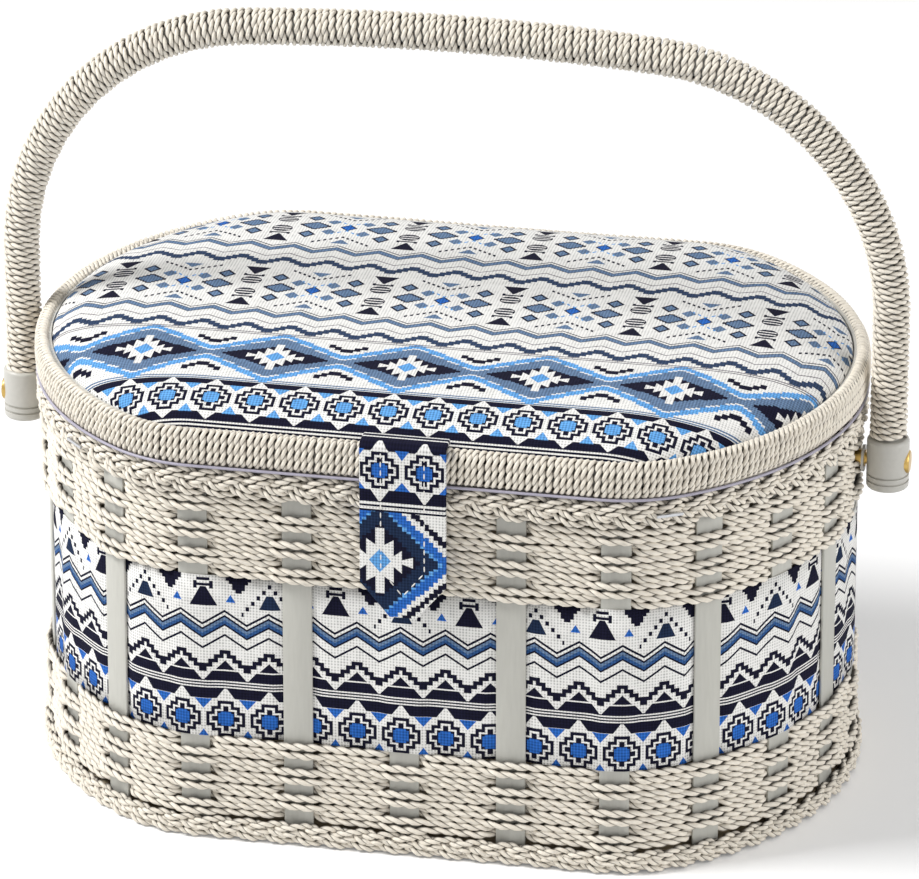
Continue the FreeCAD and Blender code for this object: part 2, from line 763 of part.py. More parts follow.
def build_tray():
    """Shallow tray with cross walls, resting on the ledge, and a long grip wall let into it."""
    top = ledge_top + tray_height
    floor = ledge_top + tray_wall
    shell = plate(tray_outer, ledge_top, top)
    shell = shell.cut(plate(tray_outer + tray_wall, floor, top + overrun))
    inside = plate(tray_outer + tray_wall / 2, floor - tray_wall / 2, top)
    tray_length = 2 * pivot_x(tray_outer)
    for k in range(1, tray_bay_count):
        x = tray_length * (k / tray_bay_count - 1 / 2)
        wall = box(x - tray_wall / 2, x + tray_wall / 2, -body_half_depth, body_half_depth, ledge_top, top)
        shell = shell.fuse(wall.common(inside))
    grip_wall = box(-body_half_length, body_half_length, -tray_wall / 2, tray_wall / 2, floor, top).common(inside)
    export("tray", shell.removeSplitter().cut(grip_wall))
    grip_top = top - tray_grip_below_top
    half = tray_grip_length / 2
    grip = box(-half, half, -tray_wall, tray_wall, grip_top - tray_grip_height, grip_top)
    across = [e for e in grip.Edges if e.BoundBox.YLength > tray_wall]
    grip = grip.makeFillet(tray_grip_height / 3, across)
    export("tray_grip_wall", grip_wall.cut(grip))


os.makedirs("parts", exist_ok=True)
build_basket()
build_lid()
build_hinges()
build_handle()
build_tab()
build_tray()
print("perimeter", round(perimeter, 1), "rib pitch", round(rib_pitch, 2), "handle winding", round(handle_length, 1))
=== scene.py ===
# %% [markdown]
# A woven sewing box stands on the table: an oval basket of flat ribs and twisted paper cord, a printed
# canvas band round its middle, a padded lid of the same canvas, a closing tab and a wound carrying handle.
# The CAD model gives every size and every joint. Here each piece gets the look of its real material.

# %% Load the frame
import bpy
import json
import math
import numpy as np
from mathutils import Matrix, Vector


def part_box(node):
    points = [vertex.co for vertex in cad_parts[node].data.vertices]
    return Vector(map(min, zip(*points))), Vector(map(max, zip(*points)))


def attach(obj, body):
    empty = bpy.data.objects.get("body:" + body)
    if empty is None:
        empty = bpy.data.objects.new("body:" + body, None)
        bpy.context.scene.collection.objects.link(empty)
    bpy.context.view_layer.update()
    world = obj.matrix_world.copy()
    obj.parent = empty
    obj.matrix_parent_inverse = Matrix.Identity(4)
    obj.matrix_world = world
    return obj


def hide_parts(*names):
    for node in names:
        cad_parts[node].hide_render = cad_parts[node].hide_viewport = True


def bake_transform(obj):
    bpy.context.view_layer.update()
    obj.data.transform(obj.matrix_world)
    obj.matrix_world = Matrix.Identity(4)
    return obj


MM = 0.001
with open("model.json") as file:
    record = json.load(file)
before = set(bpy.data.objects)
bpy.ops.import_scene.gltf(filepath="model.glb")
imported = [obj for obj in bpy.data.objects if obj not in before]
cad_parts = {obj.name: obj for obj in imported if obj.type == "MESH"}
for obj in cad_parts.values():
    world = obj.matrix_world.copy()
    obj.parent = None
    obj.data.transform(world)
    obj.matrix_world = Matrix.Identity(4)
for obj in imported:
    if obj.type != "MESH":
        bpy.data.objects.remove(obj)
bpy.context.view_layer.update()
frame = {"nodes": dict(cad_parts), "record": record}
bpy.ops.object.select_all(action="DESELECT")

# %% [markdown]
# The basket is an oval of straight runs, tight corners and slightly bowed ends. Almost every piece follows
# that outline, so one small function walks along it and says where a point is and which way is outwards.
# Its two half sizes come from the frame, and the radii are the basket's own.

# %% Outline of the basket
braid_proud = 1.2 * MM
braid_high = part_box("top_braid")[1]
half_depth = braid_high.y - braid_proud
half_length = braid_high.x - braid_proud
corner_radius_share = 0.4845
end_radius_share = 1.1134
corner_radius = half_depth * corner_radius_share
end_radius = half_depth * end_radius_share
corner_depth = half_depth - corner_radius
end_centre = half_length - end_radius
straight_half = end_centre + math.sqrt((end_radius - corner_radius) ** 2 - corner_depth ** 2)
corner_turn = math.atan2(straight_half - end_centre, corner_depth)
end_turn = math.pi - 2 * corner_turn
round_end = [corner_radius * corner_turn, end_radius * end_turn, corner_radius * corner_turn]
run_lengths = [straight_half] + round_end + [2 * straight_half] + round_end + [straight_half]
run_ends = np.cumsum(run_lengths)
perimeter = run_ends[-1]
front = -math.pi / 2
run_angles = [front, front, front + corner_turn, front + corner_turn + end_turn, math.pi / 2, math.pi / 2,
              math.pi / 2 + corner_turn, math.pi / 2 + corner_turn + end_turn, front]
run_centres = [(0, 0), (straight_half, -corner_depth), (end_centre, 0), (straight_half, corner_depth), (0, 0),
               (-straight_half, corner_depth), (-end_centre, 0), (-straight_half, -corner_depth), (0, 0)]
run_radii = [0, corner_radius, end_radius, corner_radius, 0, corner_radius, end_radius, corner_radius, 0]
run_starts = [(0, -half_depth), None, None, None, (straight_half, half_depth), None, None, None,
              (-straight_half, -half_depth)]


def stations(distance):
    """Points on the outline at distances from the front centre, and their outward directions."""
    rest = np.mod(np.asarray(distance, float), perimeter)
    run = np.minimum(np.searchsorted(run_ends, rest, side="right"), len(run_lengths) - 1)
    rest = rest - np.concatenate([[0], run_ends])[run]
    points = np.zeros((len(rest), 2))
    outward = np.zeros((len(rest), 2))
    for k, length in enumerate(run_lengths):
        here = run == k
        if run_radii[k]:
            angle = run_angles[k] + rest[here] / run_radii[k]
            outward[here] = np.stack([np.cos(angle), np.sin(angle)], 1)
            points[here] = np.array(run_centres[k]) + outward[here] * run_radii[k]
        else:
            side = math.sin(run_angles[k])
            outward[here] = (0, side)
            points[here] = np.array(run_starts[k]) + np.outer(rest[here], (-side, 0))
    return points, outward


def inset_of(points):
    """Inset of points from the outline, and the outward direction there."""
    x, y = np.abs(points[:, 0]), np.abs(points[:, 1])
    dx, dy = x - straight_half, y - corner_depth
    in_corner = (dx > 0) & (np.arctan2(dy, dx) > math.pi / 2 - corner_turn)
    ex = x - end_centre
    round_inset = np.where(in_corner, corner_radius - np.hypot(dx, dy), end_radius - np.hypot(ex, y))
    inset = np.where(dx <= 0, half_depth - y, round_inset)
    ox = np.where(dx <= 0, 0, np.where(in_corner, dx, ex))
    oy = np.where(dx <= 0, 1, np.where(in_corner, dy, y))
    size = np.maximum(np.hypot(ox, oy), 1e-9)
    return inset, np.stack([ox / size * np.sign(points[:, 0]), oy / size * np.sign(points[:, 1])], 1)


rib_count = 24
rib_pitch = perimeter / rib_count
weave_shift = 3.0 * MM
rib_spread = 5.5 * MM
rib_index = np.arange(rib_count)
rib_places = rib_index * rib_pitch + weave_shift + rib_spread * np.sin(4 * math.pi * rib_index / rib_count)
print("outline", round(perimeter, 4), "m round, ribs", round(rib_pitch, 4), "m apart")

# %% [markdown]
# The camera stands where the photographer stood: some two and a half metres away with a long lens, a little
# to the right of the front and about 24 degrees above it. A long lens keeps the upright ribs parallel, as
# in the photo.

# %% Camera
camera_yaw = 0.202
camera_pitch = 0.422
camera_distance = 2.6
aim_right = 2.56 * MM
aim_up = 9.27 * MM
body_middle = Vector((0, 0, 0.1))
camera_data = bpy.data.cameras.new("camera")
camera = bpy.data.objects.new("camera", camera_data)
bpy.context.collection.objects.link(camera)
back = Vector((math.sin(camera_yaw) * math.cos(camera_pitch), -math.cos(camera_yaw) * math.cos(camera_pitch),
               math.sin(camera_pitch)))
right = Vector((math.cos(camera_yaw), math.sin(camera_yaw), 0))
up = back.cross(right)
camera.location = body_middle + back * camera_distance
aim = body_middle + right * aim_right + up * aim_up
camera.rotation_euler = (aim - camera.location).to_track_quat("-Z", "Y").to_euler()
camera_data.sensor_width = 36
camera_data.lens = 298.5
camera_data.clip_end = 50
bpy.context.scene.camera = camera
print("camera", tuple(round(c, 3) for c in camera.location), "lens", camera_data.lens)

# %% [markdown]
# Materials are Principled surfaces. The colours were judged against the photo and are written as the
# usual 0 to 255 values, which a small function turns into the linear values that Blender works with.

# %% Material helpers
def linear(rgb):
    """Linear colour from 0 to 255 values."""
    shares = [c / 255 for c in rgb]
    return [c / 12.92 if c <= 0.04045 else ((c + 0.055) / 1.055) ** 2.4 for c in shares] + [1.0]


def surface(name, rgb, roughness, metallic=0.0, specular=0.5):
    """New Principled material of one colour."""
    material = bpy.data.materials.new(name)
    material.use_nodes = True
    shader = material.node_tree.nodes["Principled BSDF"]
    shader.inputs["Base Color"].default_value = linear(rgb)
    shader.inputs["Roughness"].default_value = roughness
    shader.inputs["Metallic"].default_value = metallic
    shader.inputs["Specular IOR Level"].default_value = specular
    return material


def mottle(material, scale, dark, light, bump, stretch=(1, 1, 1)):
    """Vary colour, shine and height with one noise on object coordinates."""
    tree = material.node_tree
    shader = tree.nodes["Principled BSDF"]
    place = tree.nodes.new("ShaderNodeTexCoord")
    mapping = tree.nodes.new("ShaderNodeMapping")
    mapping.inputs["Scale"].default_value = stretch
    noise = tree.nodes.new("ShaderNodeTexNoise")
    noise.inputs["Scale"].default_value = scale
    noise.inputs["Detail"].default_value = 3
    mix = tree.nodes.new("ShaderNodeMix")
    mix.data_type = "RGBA"
    mix.inputs[6].default_value = linear(dark)
    mix.inputs[7].default_value = linear(light)
    shine = tree.nodes.new("ShaderNodeMapRange")
    shine.inputs["To Min"].default_value = shader.inputs["Roughness"].default_value * 0.8
    shine.inputs["To Max"].default_value = min(1.0, shader.inputs["Roughness"].default_value * 1.2)
    ridge = tree.nodes.new("ShaderNodeBump")
    ridge.inputs["Strength"].default_value = 0.6
    ridge.inputs["Distance"].default_value = bump
    links = tree.links
    links.new(place.outputs["Object"], mapping.inputs["Vector"])
    links.new(mapping.outputs["Vector"], noise.inputs["Vector"])
    links.new(noise.outputs["Fac"], mix.inputs[0])
    links.new(mix.outputs[2], shader.inputs["Base Color"])
    links.new(noise.outputs["Fac"], shine.inputs["Value"])
    links.new(shine.outputs["Result"], shader.inputs["Roughness"])
    links.new(noise.outputs["Fac"], ridge.inputs["Height"])
    links.new(ridge.outputs["Normal"], shader.inputs["Normal"])
    return material


# %% [markdown]
# The cord is spun from paper, so it is matt and a little uneven. Painted shade darkens the grooves between
# its plies and the sides that face other cords: an attribute called groove says how deep in such a place a
# point lies, and so how much painted shade it gets, with faint fibre streaks added. The ribs are flat
# plastic with a soft shine. Metal parts are brass and steel. Nothing here needs a picture file.

# %% Plain materials
def shade_grooves(material, rgb, strength):
    """Paint shade into the colour where the attribute groove is high."""
    tree = material.node_tree
    shader = tree.nodes["Principled BSDF"]
    source = tree.nodes.new("ShaderNodeAttribute")
    source.attribute_name = "groove"
    narrow = tree.nodes.new("ShaderNodeMath")
    narrow.operation = "POWER"
    narrow.inputs[1].default_value = 1.5
    amount = tree.nodes.new("ShaderNodeMath")
    amount.operation = "MULTIPLY"
    amount.inputs[1].default_value = strength
    mix = tree.nodes.new("ShaderNodeMix")
    mix.data_type = "RGBA"
    mix.inputs[7].default_value = linear(rgb)
    tree.links.new(source.outputs["Fac"], narrow.inputs[0])
    tree.links.new(narrow.outputs[0], amount.inputs[0])
    tree.links.new(amount.outputs[0], mix.inputs[0])
    tree.links.new(shader.inputs["Base Color"].links[0].from_socket, mix.inputs[6])
    tree.links.new(mix.outputs[2], shader.inputs["Base Color"])


looks = {}


def finish(name, rgb, roughness, grain, dark, light, bump, metallic=0.0, stretch=(1, 1, 1)):
    """Add a material with a grain of its own."""
    looks[name] = mottle(surface(name, rgb, roughness, metallic), grain, dark, light, bump, stretch)


finish("paper_cord", (210, 204, 192), 0.62, 500, (224, 214, 197), (251, 245, 233), 0.0002)
# Painted shade, dark brown, in the cord's grooves and on its sides that face other cords.
shade_grooves(looks["paper_cord"], (34, 25, 17), 0.97)
finish("rib_plastic", (187, 186, 178), 0.38, 900, (180, 179, 171), (194, 193, 185), 0.00005,
       stretch=(1, 1, 0.12))
finish("satin", (166, 162, 177), 0.42, 60, (156, 152, 168), (176, 172, 186), 0.0001)
finish("pincushion_cloth", (60, 88, 140), 0.85, 2500, (54, 80, 130), (68, 96, 150), 0.0002)
finish("board", (176, 160, 134), 0.85, 300, (166, 150, 124), (186, 170, 144), 0.0001)
finish("wadding", (236, 234, 228), 0.95, 700, (228, 226, 219), (242, 240, 235), 0.0004)
finish("core_plastic", (205, 203, 196), 0.5, 400, (199, 197, 190), (210, 208, 201), 0.00004)
finish("cap_plastic", (190, 188, 181), 0.34, 600, (185, 183, 176), (195, 193, 186), 0.00004)
finish("brass", (196, 164, 96), 0.3, 800, (186, 153, 86), (204, 173, 106), 0.00003, metallic=1.0)
finish("steel", (198, 200, 204), 0.28, 800, (188, 190, 194), (206, 208, 212), 0.00003, metallic=1.0)
finish("tray_plastic", (228, 228, 224), 0.4, 1500, (223, 223, 218), (232, 232, 228), 0.00005)
finish("thread", (232, 230, 226), 0.7, 4000, (222, 219, 213), (240, 238, 234), 0.0001)
print(len(looks), "plain materials")

# %% [markdown]
# The canvas is printed with a traditional geometric ornament: rows of stepped crosses, triangles, zigzags,
# stars and diamonds. It is drawn with arithmetic on the cloth's own flat coordinates in millimetres, which
# every cloth piece carries as an attribute called cloth. A small class lets the shader's math nodes be
# written as plain formulas.

# %% Formulas as shader nodes
class Field:
    """A number that varies over the surface, built from math nodes."""
    def __init__(self, tree, socket):
        self.tree = tree
        self.socket = socket

    def op(self, kind, *others):
        node = self.tree.nodes.new("ShaderNodeMath")
        node.operation = kind
        for k, value in enumerate((self,) + others):
            if isinstance(value, Field):
                self.tree.links.new(value.socket, node.inputs[k])
            else:
                node.inputs[k].default_value = value
        return Field(self.tree, node.outputs[0])

    def __add__(self, other):
        return self.op("ADD", other)

    def __sub__(self, other):
        return self.op("SUBTRACT", other)

    def __rsub__(self, other):
        return self.op("MULTIPLY", -1.0).op("ADD", other)

    def __mul__(self, other):
        return self.op("MULTIPLY", other)

    def __truediv__(self, other):
        return self.op("DIVIDE", other)

    def __lt__(self, other):
        return self.op("LESS_THAN", other)

    def __gt__(self, other):
        return self.op("GREATER_THAN", other)

    def __and__(self, other):
        return self.op("MULTIPLY", other)

    def __or__(self, other):
        return self.op("MAXIMUM", other)

    def size(self):
        return self.op("ABSOLUTE")

    def near(self, centre, half):
        return (self - centre).size() < half

    def between(self, low, high):
        return self.near((low + high) / 2, (high - low) / 2)

    def repeat(self, first, period):
        """Distance from the nearest of a row of centres."""
        return (self - first).op("PINGPONG", period / 2)

    def steps(self, step):
        return self.op("SNAP", step)


class Print:
    """Cloth material whose colour is painted in layers, each layer a mask and a colour."""
    def __init__(self, name, base):
        self.material = surface(name, base, 0.85, specular=0.1)
        self.tree = self.material.node_tree
        source = self.tree.nodes.new("ShaderNodeAttribute")
        source.attribute_name = "cloth"
        split = self.tree.nodes.new("ShaderNodeSeparateXYZ")
        self.tree.links.new(source.outputs["Vector"], split.inputs[0])
        self.u = Field(self.tree, split.outputs[0])
        self.v = Field(self.tree, split.outputs[1])
        self.base = base
        self.last = None

    def paint(self, mask, rgb):
        mix = self.tree.nodes.new("ShaderNodeMix")
        mix.data_type = "RGBA"
        self.tree.links.new(mask.socket, mix.inputs[0])
        if self.last is None:
            mix.inputs[6].default_value = linear(self.base)
        else:
            self.tree.links.new(self.last, mix.inputs[6])
        mix.inputs[7].default_value = linear(rgb)
        self.last = mix.outputs[2]

    def weave(self, thread, depth):
        """Thread grid of the canvas: painted highlights on the threads and painted shade between them, random
        flecks of tone, and a bump.
        """
        warp = (self.u * (math.tau / thread)).op("SINE")
        weft = (self.v * (math.tau / thread)).op("SINE")
        grid = warp * 0.5 + weft * 0.45
        noise = self.tree.nodes.new("ShaderNodeTexNoise")
        noise.inputs["Scale"].default_value = 420
        noise.inputs["Detail"].default_value = 3
        place = self.tree.nodes.new("ShaderNodeTexCoord")
        self.tree.links.new(place.outputs["Object"], noise.inputs["Vector"])
        fleck = Field(self.tree, noise.outputs["Fac"])
        # The thread grid paints highlights on the threads and shade between them into the colour; the flecks
        # are random tone of the cloth.
        tone = grid * 0.44 + (fleck - 0.5) * 0.6 + 0.95
        scale = self.tree.nodes.new("ShaderNodeVectorMath")
        scale.operation = "SCALE"
        self.tree.links.new(self.last, scale.inputs[0])
        self.tree.links.new(tone.socket, scale.inputs["Scale"])
        held = self.tree.nodes.new("ShaderNodeVectorMath")
        held.operation = "MINIMUM"
        held.inputs[1].default_value = linear(self.base)[:3]
        self.tree.links.new(scale.outputs[0], held.inputs[0])
        shader = self.tree.nodes["Principled BSDF"]
        self.tree.links.new(held.outputs[0], shader.inputs["Base Color"])
        bump = self.tree.nodes.new("ShaderNodeBump")
        bump.inputs["Strength"].default_value = 0.5
        bump.inputs["Distance"].default_value = depth
        self.tree.links.new((grid + fleck).socket, bump.inputs["Height"])
        self.tree.links.new(bump.outputs["Normal"], shader.inputs["Normal"])


NAVY = (20, 20, 40)
ROYAL = (44, 101, 185)
SKY = (98, 160, 222)
SLATE = (100, 124, 155)
DENIM = (48, 84, 136)
INK = (30, 44, 70)
STAIR = (50, 66, 94)
PENCIL = (120, 116, 122)
WHITE = (240, 239, 236)
CROSS_PERIOD = 15.0
FIGURE_PERIOD = 45.0
print("formula nodes ready")

# %% [markdown]
# Each motif is one function of the distance from its centre, so a row of crosses or stars is a single
# formula repeated along the cloth. Stepped edges come from rounding a distance down to whole steps, as the
# threads of a woven pattern would.

# %% Motifs
def trapezoid(p, dx, low, high, half_low, half_high):
    """Mask of a trapezoid between two levels."""
    share = (p.v - low) / (high - low)
    return p.v.between(low, high) & (dx < share * (half_high - half_low) + half_low)


def stepped(dx, dy, step_x, step_y, half_x, half_y):
    """Mask of a diamond with stepped edges."""
    return (dx.steps(step_x) / half_x + dy.steps(step_y) / half_y) < 0.86


def blocks(dx, dy, halves):
    """Mask of a stepped cross, made of upright blocks of half widths and half heights."""
    mask = None
    for half_x, half_y in halves:
        block = (dx < half_x) & (dy < half_y)
        mask = block if mask is None else mask | block
    return mask


def cross_row(p, dx, level, blue):
    """Stepped crosses with an outline, a white gap and a blue heart, and triangles between them."""
    dy = (p.v - level).size()
    p.paint(blocks(dx, dy, ((6.6, 2.65), (4.85, 4.6), (2.8, 6.6))), NAVY)
    p.paint(blocks(dx, dy, ((5.5, 1.55), (3.75, 3.45), (1.7, 5.45))), WHITE)
    p.paint(blocks(dx, dy, ((4.7, 0.9), (3.0, 2.8), (0.9, 4.6))), NAVY)
    p.paint(blocks(dx, dy, ((2.6, 1.9), (1.8, 2.6))), blue)
    between = CROSS_PERIOD / 2 - dx
    p.paint(trapezoid(p, between, level + 3.8, level + 7.4, 0.0, 3.0), blue)
    p.paint(trapezoid(p, between, level - 7.4, level - 3.9, 2.4, 0.0), blue)


def zigzag(p, dx, peak, slope, thickness):
    """Mask of a zigzag line."""
    return (p.v - peak + dx * slope).size() < thickness / 2 * math.hypot(1, slope)


def stairs(p, dx, peak, slope, step, thickness):
    """Mask of an unbroken line of stairs, up and down."""
    under = p.v < peak - dx.steps(step) * slope
    deeper = p.v + thickness < peak - (dx + thickness).steps(step) * slope
    return under & (1.0 - deeper)


def serrated_star(dx, dy):
    """Mask of a star with saw-toothed arms."""
    teeth = ((0.0, 1.5, 11.8, 0.0), (1.5, 4.6, 5.7, 0.65), (4.6, 7.4, 1.9, 0.8), (7.4, 11.1, 0.7, 0.33))
    mask = None
    for start, end, height, slope in teeth:
        tooth = dx.between(start - 1e-3, end) & (dy < (dx - start) * slope + height)
        mask = tooth if mask is None else mask | tooth
    return mask


def wave_band(p, first, level):
    """Stars on dark lens shapes between stepped light-blue waves."""
    dx = p.u.repeat(first, FIGURE_PERIOD)
    dy = (p.v - level).size()
    lens = (FIGURE_PERIOD / 2 - dx.steps(1.5)) * 0.66 + 1.4
    edge = lens - dy.steps(0.8)
    p.paint(dy < 17.0, WHITE)
    for reach, shade in ((-2.5, SKY), (0.6, WHITE), (1.2, SLATE)):
        p.paint(edge > reach, shade)
    p.paint(dy.steps(0.8) < (17.5 - dx.steps(1.5)) * 0.47, NAVY)
    p.paint(serrated_star(dx / 0.87, dy / 0.87), WHITE)
    p.paint((dx / 3.4 + dy / 3.8) < 1.0, SKY)
    gap = FIGURE_PERIOD / 2 - dx
    bowl = (dy - gap.steps(2.2) * 0.7 - 9.4).size() < 1.4
    p.paint(bowl & (gap < 6.6), NAVY)


def dotted_roof(p, dx, apex, rgb):
    """Dots along two slopes that meet at an apex."""
    spot = (dx + 0.95).steps(1.9)
    height = p.v - apex + spot * 1.15
    p.paint((height.size() < 0.78) & ((dx - spot).size() < 0.62) & (dx < 9.6), rgb)


print("motifs ready")

# %% [markdown]
# The band round the basket shows, from below, the crosses, a navy stripe with white lines, the zigzags and
# the foot of the row of bells. Its flat coordinates are the distance along the outline and the height above
# the table.

# %% Print of the band
thread_pitch = 1.06
thread_depth = 0.12 * MM


def band_print():
    p = Print("band_canvas", WHITE)
    dx = p.u.repeat(2.1, CROSS_PERIOD)
    between = CROSS_PERIOD / 2 - dx
    cross_row(p, dx, 43.9, ROYAL)
    p.paint(trapezoid(p, between, 51.4, 55.2, 4.4, 7.2), NAVY)
    p.paint(p.v.between(55.0, 58.4), NAVY)
    p.paint(p.v.near(55.6, 0.26) | p.v.near(56.65, 0.26) | p.v.near(57.7, 0.26), WHITE)
    p.paint(trapezoid(p, dx, 58.3, 61.6, 7.2, 4.4), NAVY)
    p.paint(trapezoid(p, dx, 62.1, 65.5, 3.3, 0.0), NAVY)
    p.paint(stairs(p, dx, 69.3, 0.86, 1.9, 1.4), NAVY)
    p.paint(zigzag(p, dx, 74.9, 0.64, 0.7), NAVY)
    p.paint(zigzag(p, dx, 80.3, 0.64, 3.3), NAVY)
    p.paint(zigzag(p, dx, 80.3, 0.64, 2.1), DENIM)
    p.paint(zigzag(p, dx, 80.9, 0.64, 1.0), SLATE)
    p.paint(zigzag(p, dx, 83.7, 0.64, 0.75), NAVY)
    bell = p.u.repeat(-20.0, FIGURE_PERIOD)
    p.paint(trapezoid(p, bell, 85.6, 92.6, 4.7, 0.9), NAVY)
    p.paint((bell < 3.2) & p.v.between(92.8, 93.8), NAVY)
    p.paint(bell.near(2.7, 0.6) & p.v.between(91.8, 94.6), NAVY)
    p.paint((bell < 2.2) & p.v.between(94.8, 95.9), NAVY)
    side = (bell - 9.2).size()
    p.paint(trapezoid(p, side, 87.0, 89.8, 1.7, 0.0), ROYAL)
    hang = (bell - 12.0).size()
    p.paint(stepped(hang, (p.v - 96.0).size(), 1.1, 1.1, 4.1, 5.6), NAVY)
    middle = FIGURE_PERIOD / 2 - bell
    dotted_roof(p, middle, 93.8, NAVY)
    p.paint(trapezoid(p, middle, 85.2, 90.4, 3.6, 1.1), INK)
    p.weave(thread_pitch, thread_depth)
    return p.material


# %% [markdown]
# The lid is covered with the same cloth. Going back from the front rim it shows the stripe, the crosses, a
# band of stars, the zigzags and then a field of hourglass figures and diamonds, and the zigzags and the
# field come again towards the back. Here the flat coordinates follow the crowned surface, as pulled cloth
# does.

# %% Print of the lid
def figure_field(p, first, level):
    """Hourglass figures, discs, diamonds and dotted roofs, mirrored about the middle of the field."""
    dx = p.u.repeat(first, FIGURE_PERIOD)
    up_ = p.v - level
    dy = up_.size()
    p.paint((dy.between(10.4, 16.6)) & (dx < (dy - 10.0) * 0.66), NAVY)
    ring = (dx.op("POWER", 2.0) / 13.0 + (dy - 5.0).op("POWER", 2.0) / 9.5)
    stripes = up_.op("PINGPONG", 1.0) < 0.4
    p.paint((ring < 1.0), NAVY)
    p.paint((ring < 0.8) & stripes, WHITE)
    p.paint((dx < 3.4) & dy.near(9.2, 0.5), NAVY)
    p.paint(dx.near(3.1, 0.5) & dy.between(8.6, 10.4), NAVY)
    wide = (dx - 10.8).size()
    shape = wide / 5.4 + dy.steps(0.8) / 4.0
    p.paint(shape < 1.0, NAVY)
    p.paint(shape < 0.74, SLATE)
    small = (dx - 9.4).size() / 3.2 + (dy - 8.9).size() / 3.5
    p.paint(small < 1.0, NAVY)
    p.paint(small < 0.66, SLATE)
    small = (dx - 16.4).size() / 2.6 + (dy - 5.4).size() / 2.8
    p.paint(small < 1.0, SLATE)
    middle = FIGURE_PERIOD / 2 - dx
    p.paint((middle / 3.1 + dy / 3.4) < 1.0, NAVY)
    p.paint((middle / 2.4 + dy / 2.6) < 1.0, ROYAL)
    line = dy - 9.6 - middle * 0.62
    p.paint((line.size() < 0.7) & (middle.op("PINGPONG", 0.95) < 0.5) & (middle < 10.5), NAVY)
    p.paint(dy.between(12.2, 15.6) & (middle < (dy - 11.8) * 0.9), SLATE)
    dash = dy - 3.2 - middle * 0.8
    p.paint((dash.size() < 0.5) & (middle.op("PINGPONG", 1.2) < 0.6) & (middle < 5.0), SKY)


def zigzag_set(p, dx, level):
    """Stepped, thin and thick zigzags one behind another, starting at a level."""
    p.paint(stairs(p, dx, level + 7.0, 0.72, 1.9, 2.1), STAIR)
    p.paint(zigzag(p, dx, level + 10.6, 0.5, 0.5), PENCIL)
    p.paint(zigzag(p, dx, level + 17.6, 0.56, 2.6), NAVY)
    p.paint(zigzag(p, dx, level + 17.6, 0.56, 2.0), SLATE)
    p.paint(zigzag(p, dx, level + 20.4, 0.56, 0.5), NAVY)


def lid_print():
    p = Print("lid_canvas", WHITE)
    dx = p.u.repeat(-4.7, CROSS_PERIOD)
    between = CROSS_PERIOD / 2 - dx
    p.paint(p.v < 4.7, NAVY)
    p.paint(p.v.near(1.0, 0.32) | p.v.near(2.4, 0.32) | p.v.near(3.8, 0.32), WHITE)
    p.paint(trapezoid(p, between, 4.7, 7.4, 7.2, 4.4), NAVY)
    cross_row(p, dx, 14.5, SKY)
    p.paint(trapezoid(p, between, 21.6, 24.6, 4.6, 7.2), NAVY)
    p.paint(p.v.near(25.2, 0.35) | p.v.near(26.4, 0.35), SLATE)
    wave_band(p, -4.7, 44.5)
    p.paint(p.v.near(62.3, 0.3) | p.v.near(63.6, 0.3), PENCIL)
    for start in (64.6, 122.6, 180.6):
        zigzag_set(p, dx, start)
    for level in (102.5, 160.5):
        figure_field(p, -27.2, level)
    p.weave(thread_pitch, thread_depth)
    return p.material


# %% [markdown]
# The tab is cut from another place of the cloth: two crosses, the stripe, and then part of a star. Its flat
# coordinates are the distance from the tab's middle and the distance down from the fold.

# %% Print of the tab
def tab_print():
    p = Print("tab_canvas", WHITE)
    dx = p.u.repeat(-7.6, CROSS_PERIOD)
    between = CROSS_PERIOD / 2 - dx
    p.paint(p.v < 0.0, NAVY)
    p.paint(p.v.near(-5.3, 0.4) | p.v.near(-3.0, 0.4), WHITE)
    p.paint(trapezoid(p, between, 0.0, 2.6, 7.0, 4.4), NAVY)
    cross_row(p, dx, 9.5, ROYAL)
    p.paint(trapezoid(p, between, 16.5, 20.6, 4.4, 7.2), NAVY)
    p.paint(p.v.between(20.5, 24.3), NAVY)
    p.paint(p.v.near(21.4, 0.5) | p.v.near(23.1, 0.5), WHITE)
    star = p.u.repeat(-7.6, FIGURE_PERIOD)
    dy = (p.v - 42.0).size()
    lens = (FIGURE_PERIOD / 2 - star.steps(1.5)) * 0.98 + 0.4 - dy.steps(0.8)
    below = p.v > 24.3
    p.paint(below, WHITE)
    shades = ((-6.4, NAVY), (-3.8, WHITE), (-1.2, ROYAL), (3.0, SKY), (4.0, INK), (10.0, NAVY))
    for reach, shade in shades:
        p.paint(below & (lens > reach), shade)
    p.paint(serrated_star(star, dy), WHITE)
    p.paint((star / 3.7 + dy / 4.2) < 1.0, SKY)
    p.weave(thread_pitch, thread_depth)
    return p.material


looks["band_canvas"] = band_print()
looks["lid_canvas"] = lid_print()
looks["tab_canvas"] = tab_print()
looks["printed_canvas"] = looks["lid_canvas"]
for name in ("band_canvas", "lid_canvas", "tab_canvas"):
    print(name, "has", len(looks[name].node_tree.nodes), "nodes")

# %% [markdown]
# Paper cord is two plies twisted together. A twisted cord is hard to model by hand, so one function lays a
# section with two lobes along a path and turns it as it goes: the lobes become the plies. The path comes
# with an outward direction, so the plies always lean the same way, as in the photo. Painted shade darkens
# the valleys between the plies and the sides that turn away from the outward direction, towards
# neighbouring cords. Fibres of the paper show as faint streaks along each ply.

# %% Twisted cord
PLIES = 2
PLY_ANGLES = np.radians([-90.0, -66.0, -24.0, 24.0, 66.0])
PLY_SHARE = 0.6
SECTION_POINTS = PLIES * len(PLY_ANGLES)
RINGS_PER_LAY = 8
GROOVE_ANGLE = math.radians(80)
HIDDEN_FROM = 0.65
HIDDEN_SPAN = 0.8
HIDDEN_SHADE = 0.95
FIBRE_RINGS = 5
FIBRE_SHADE = 0.13
fibre_rng = np.random.default_rng(11)


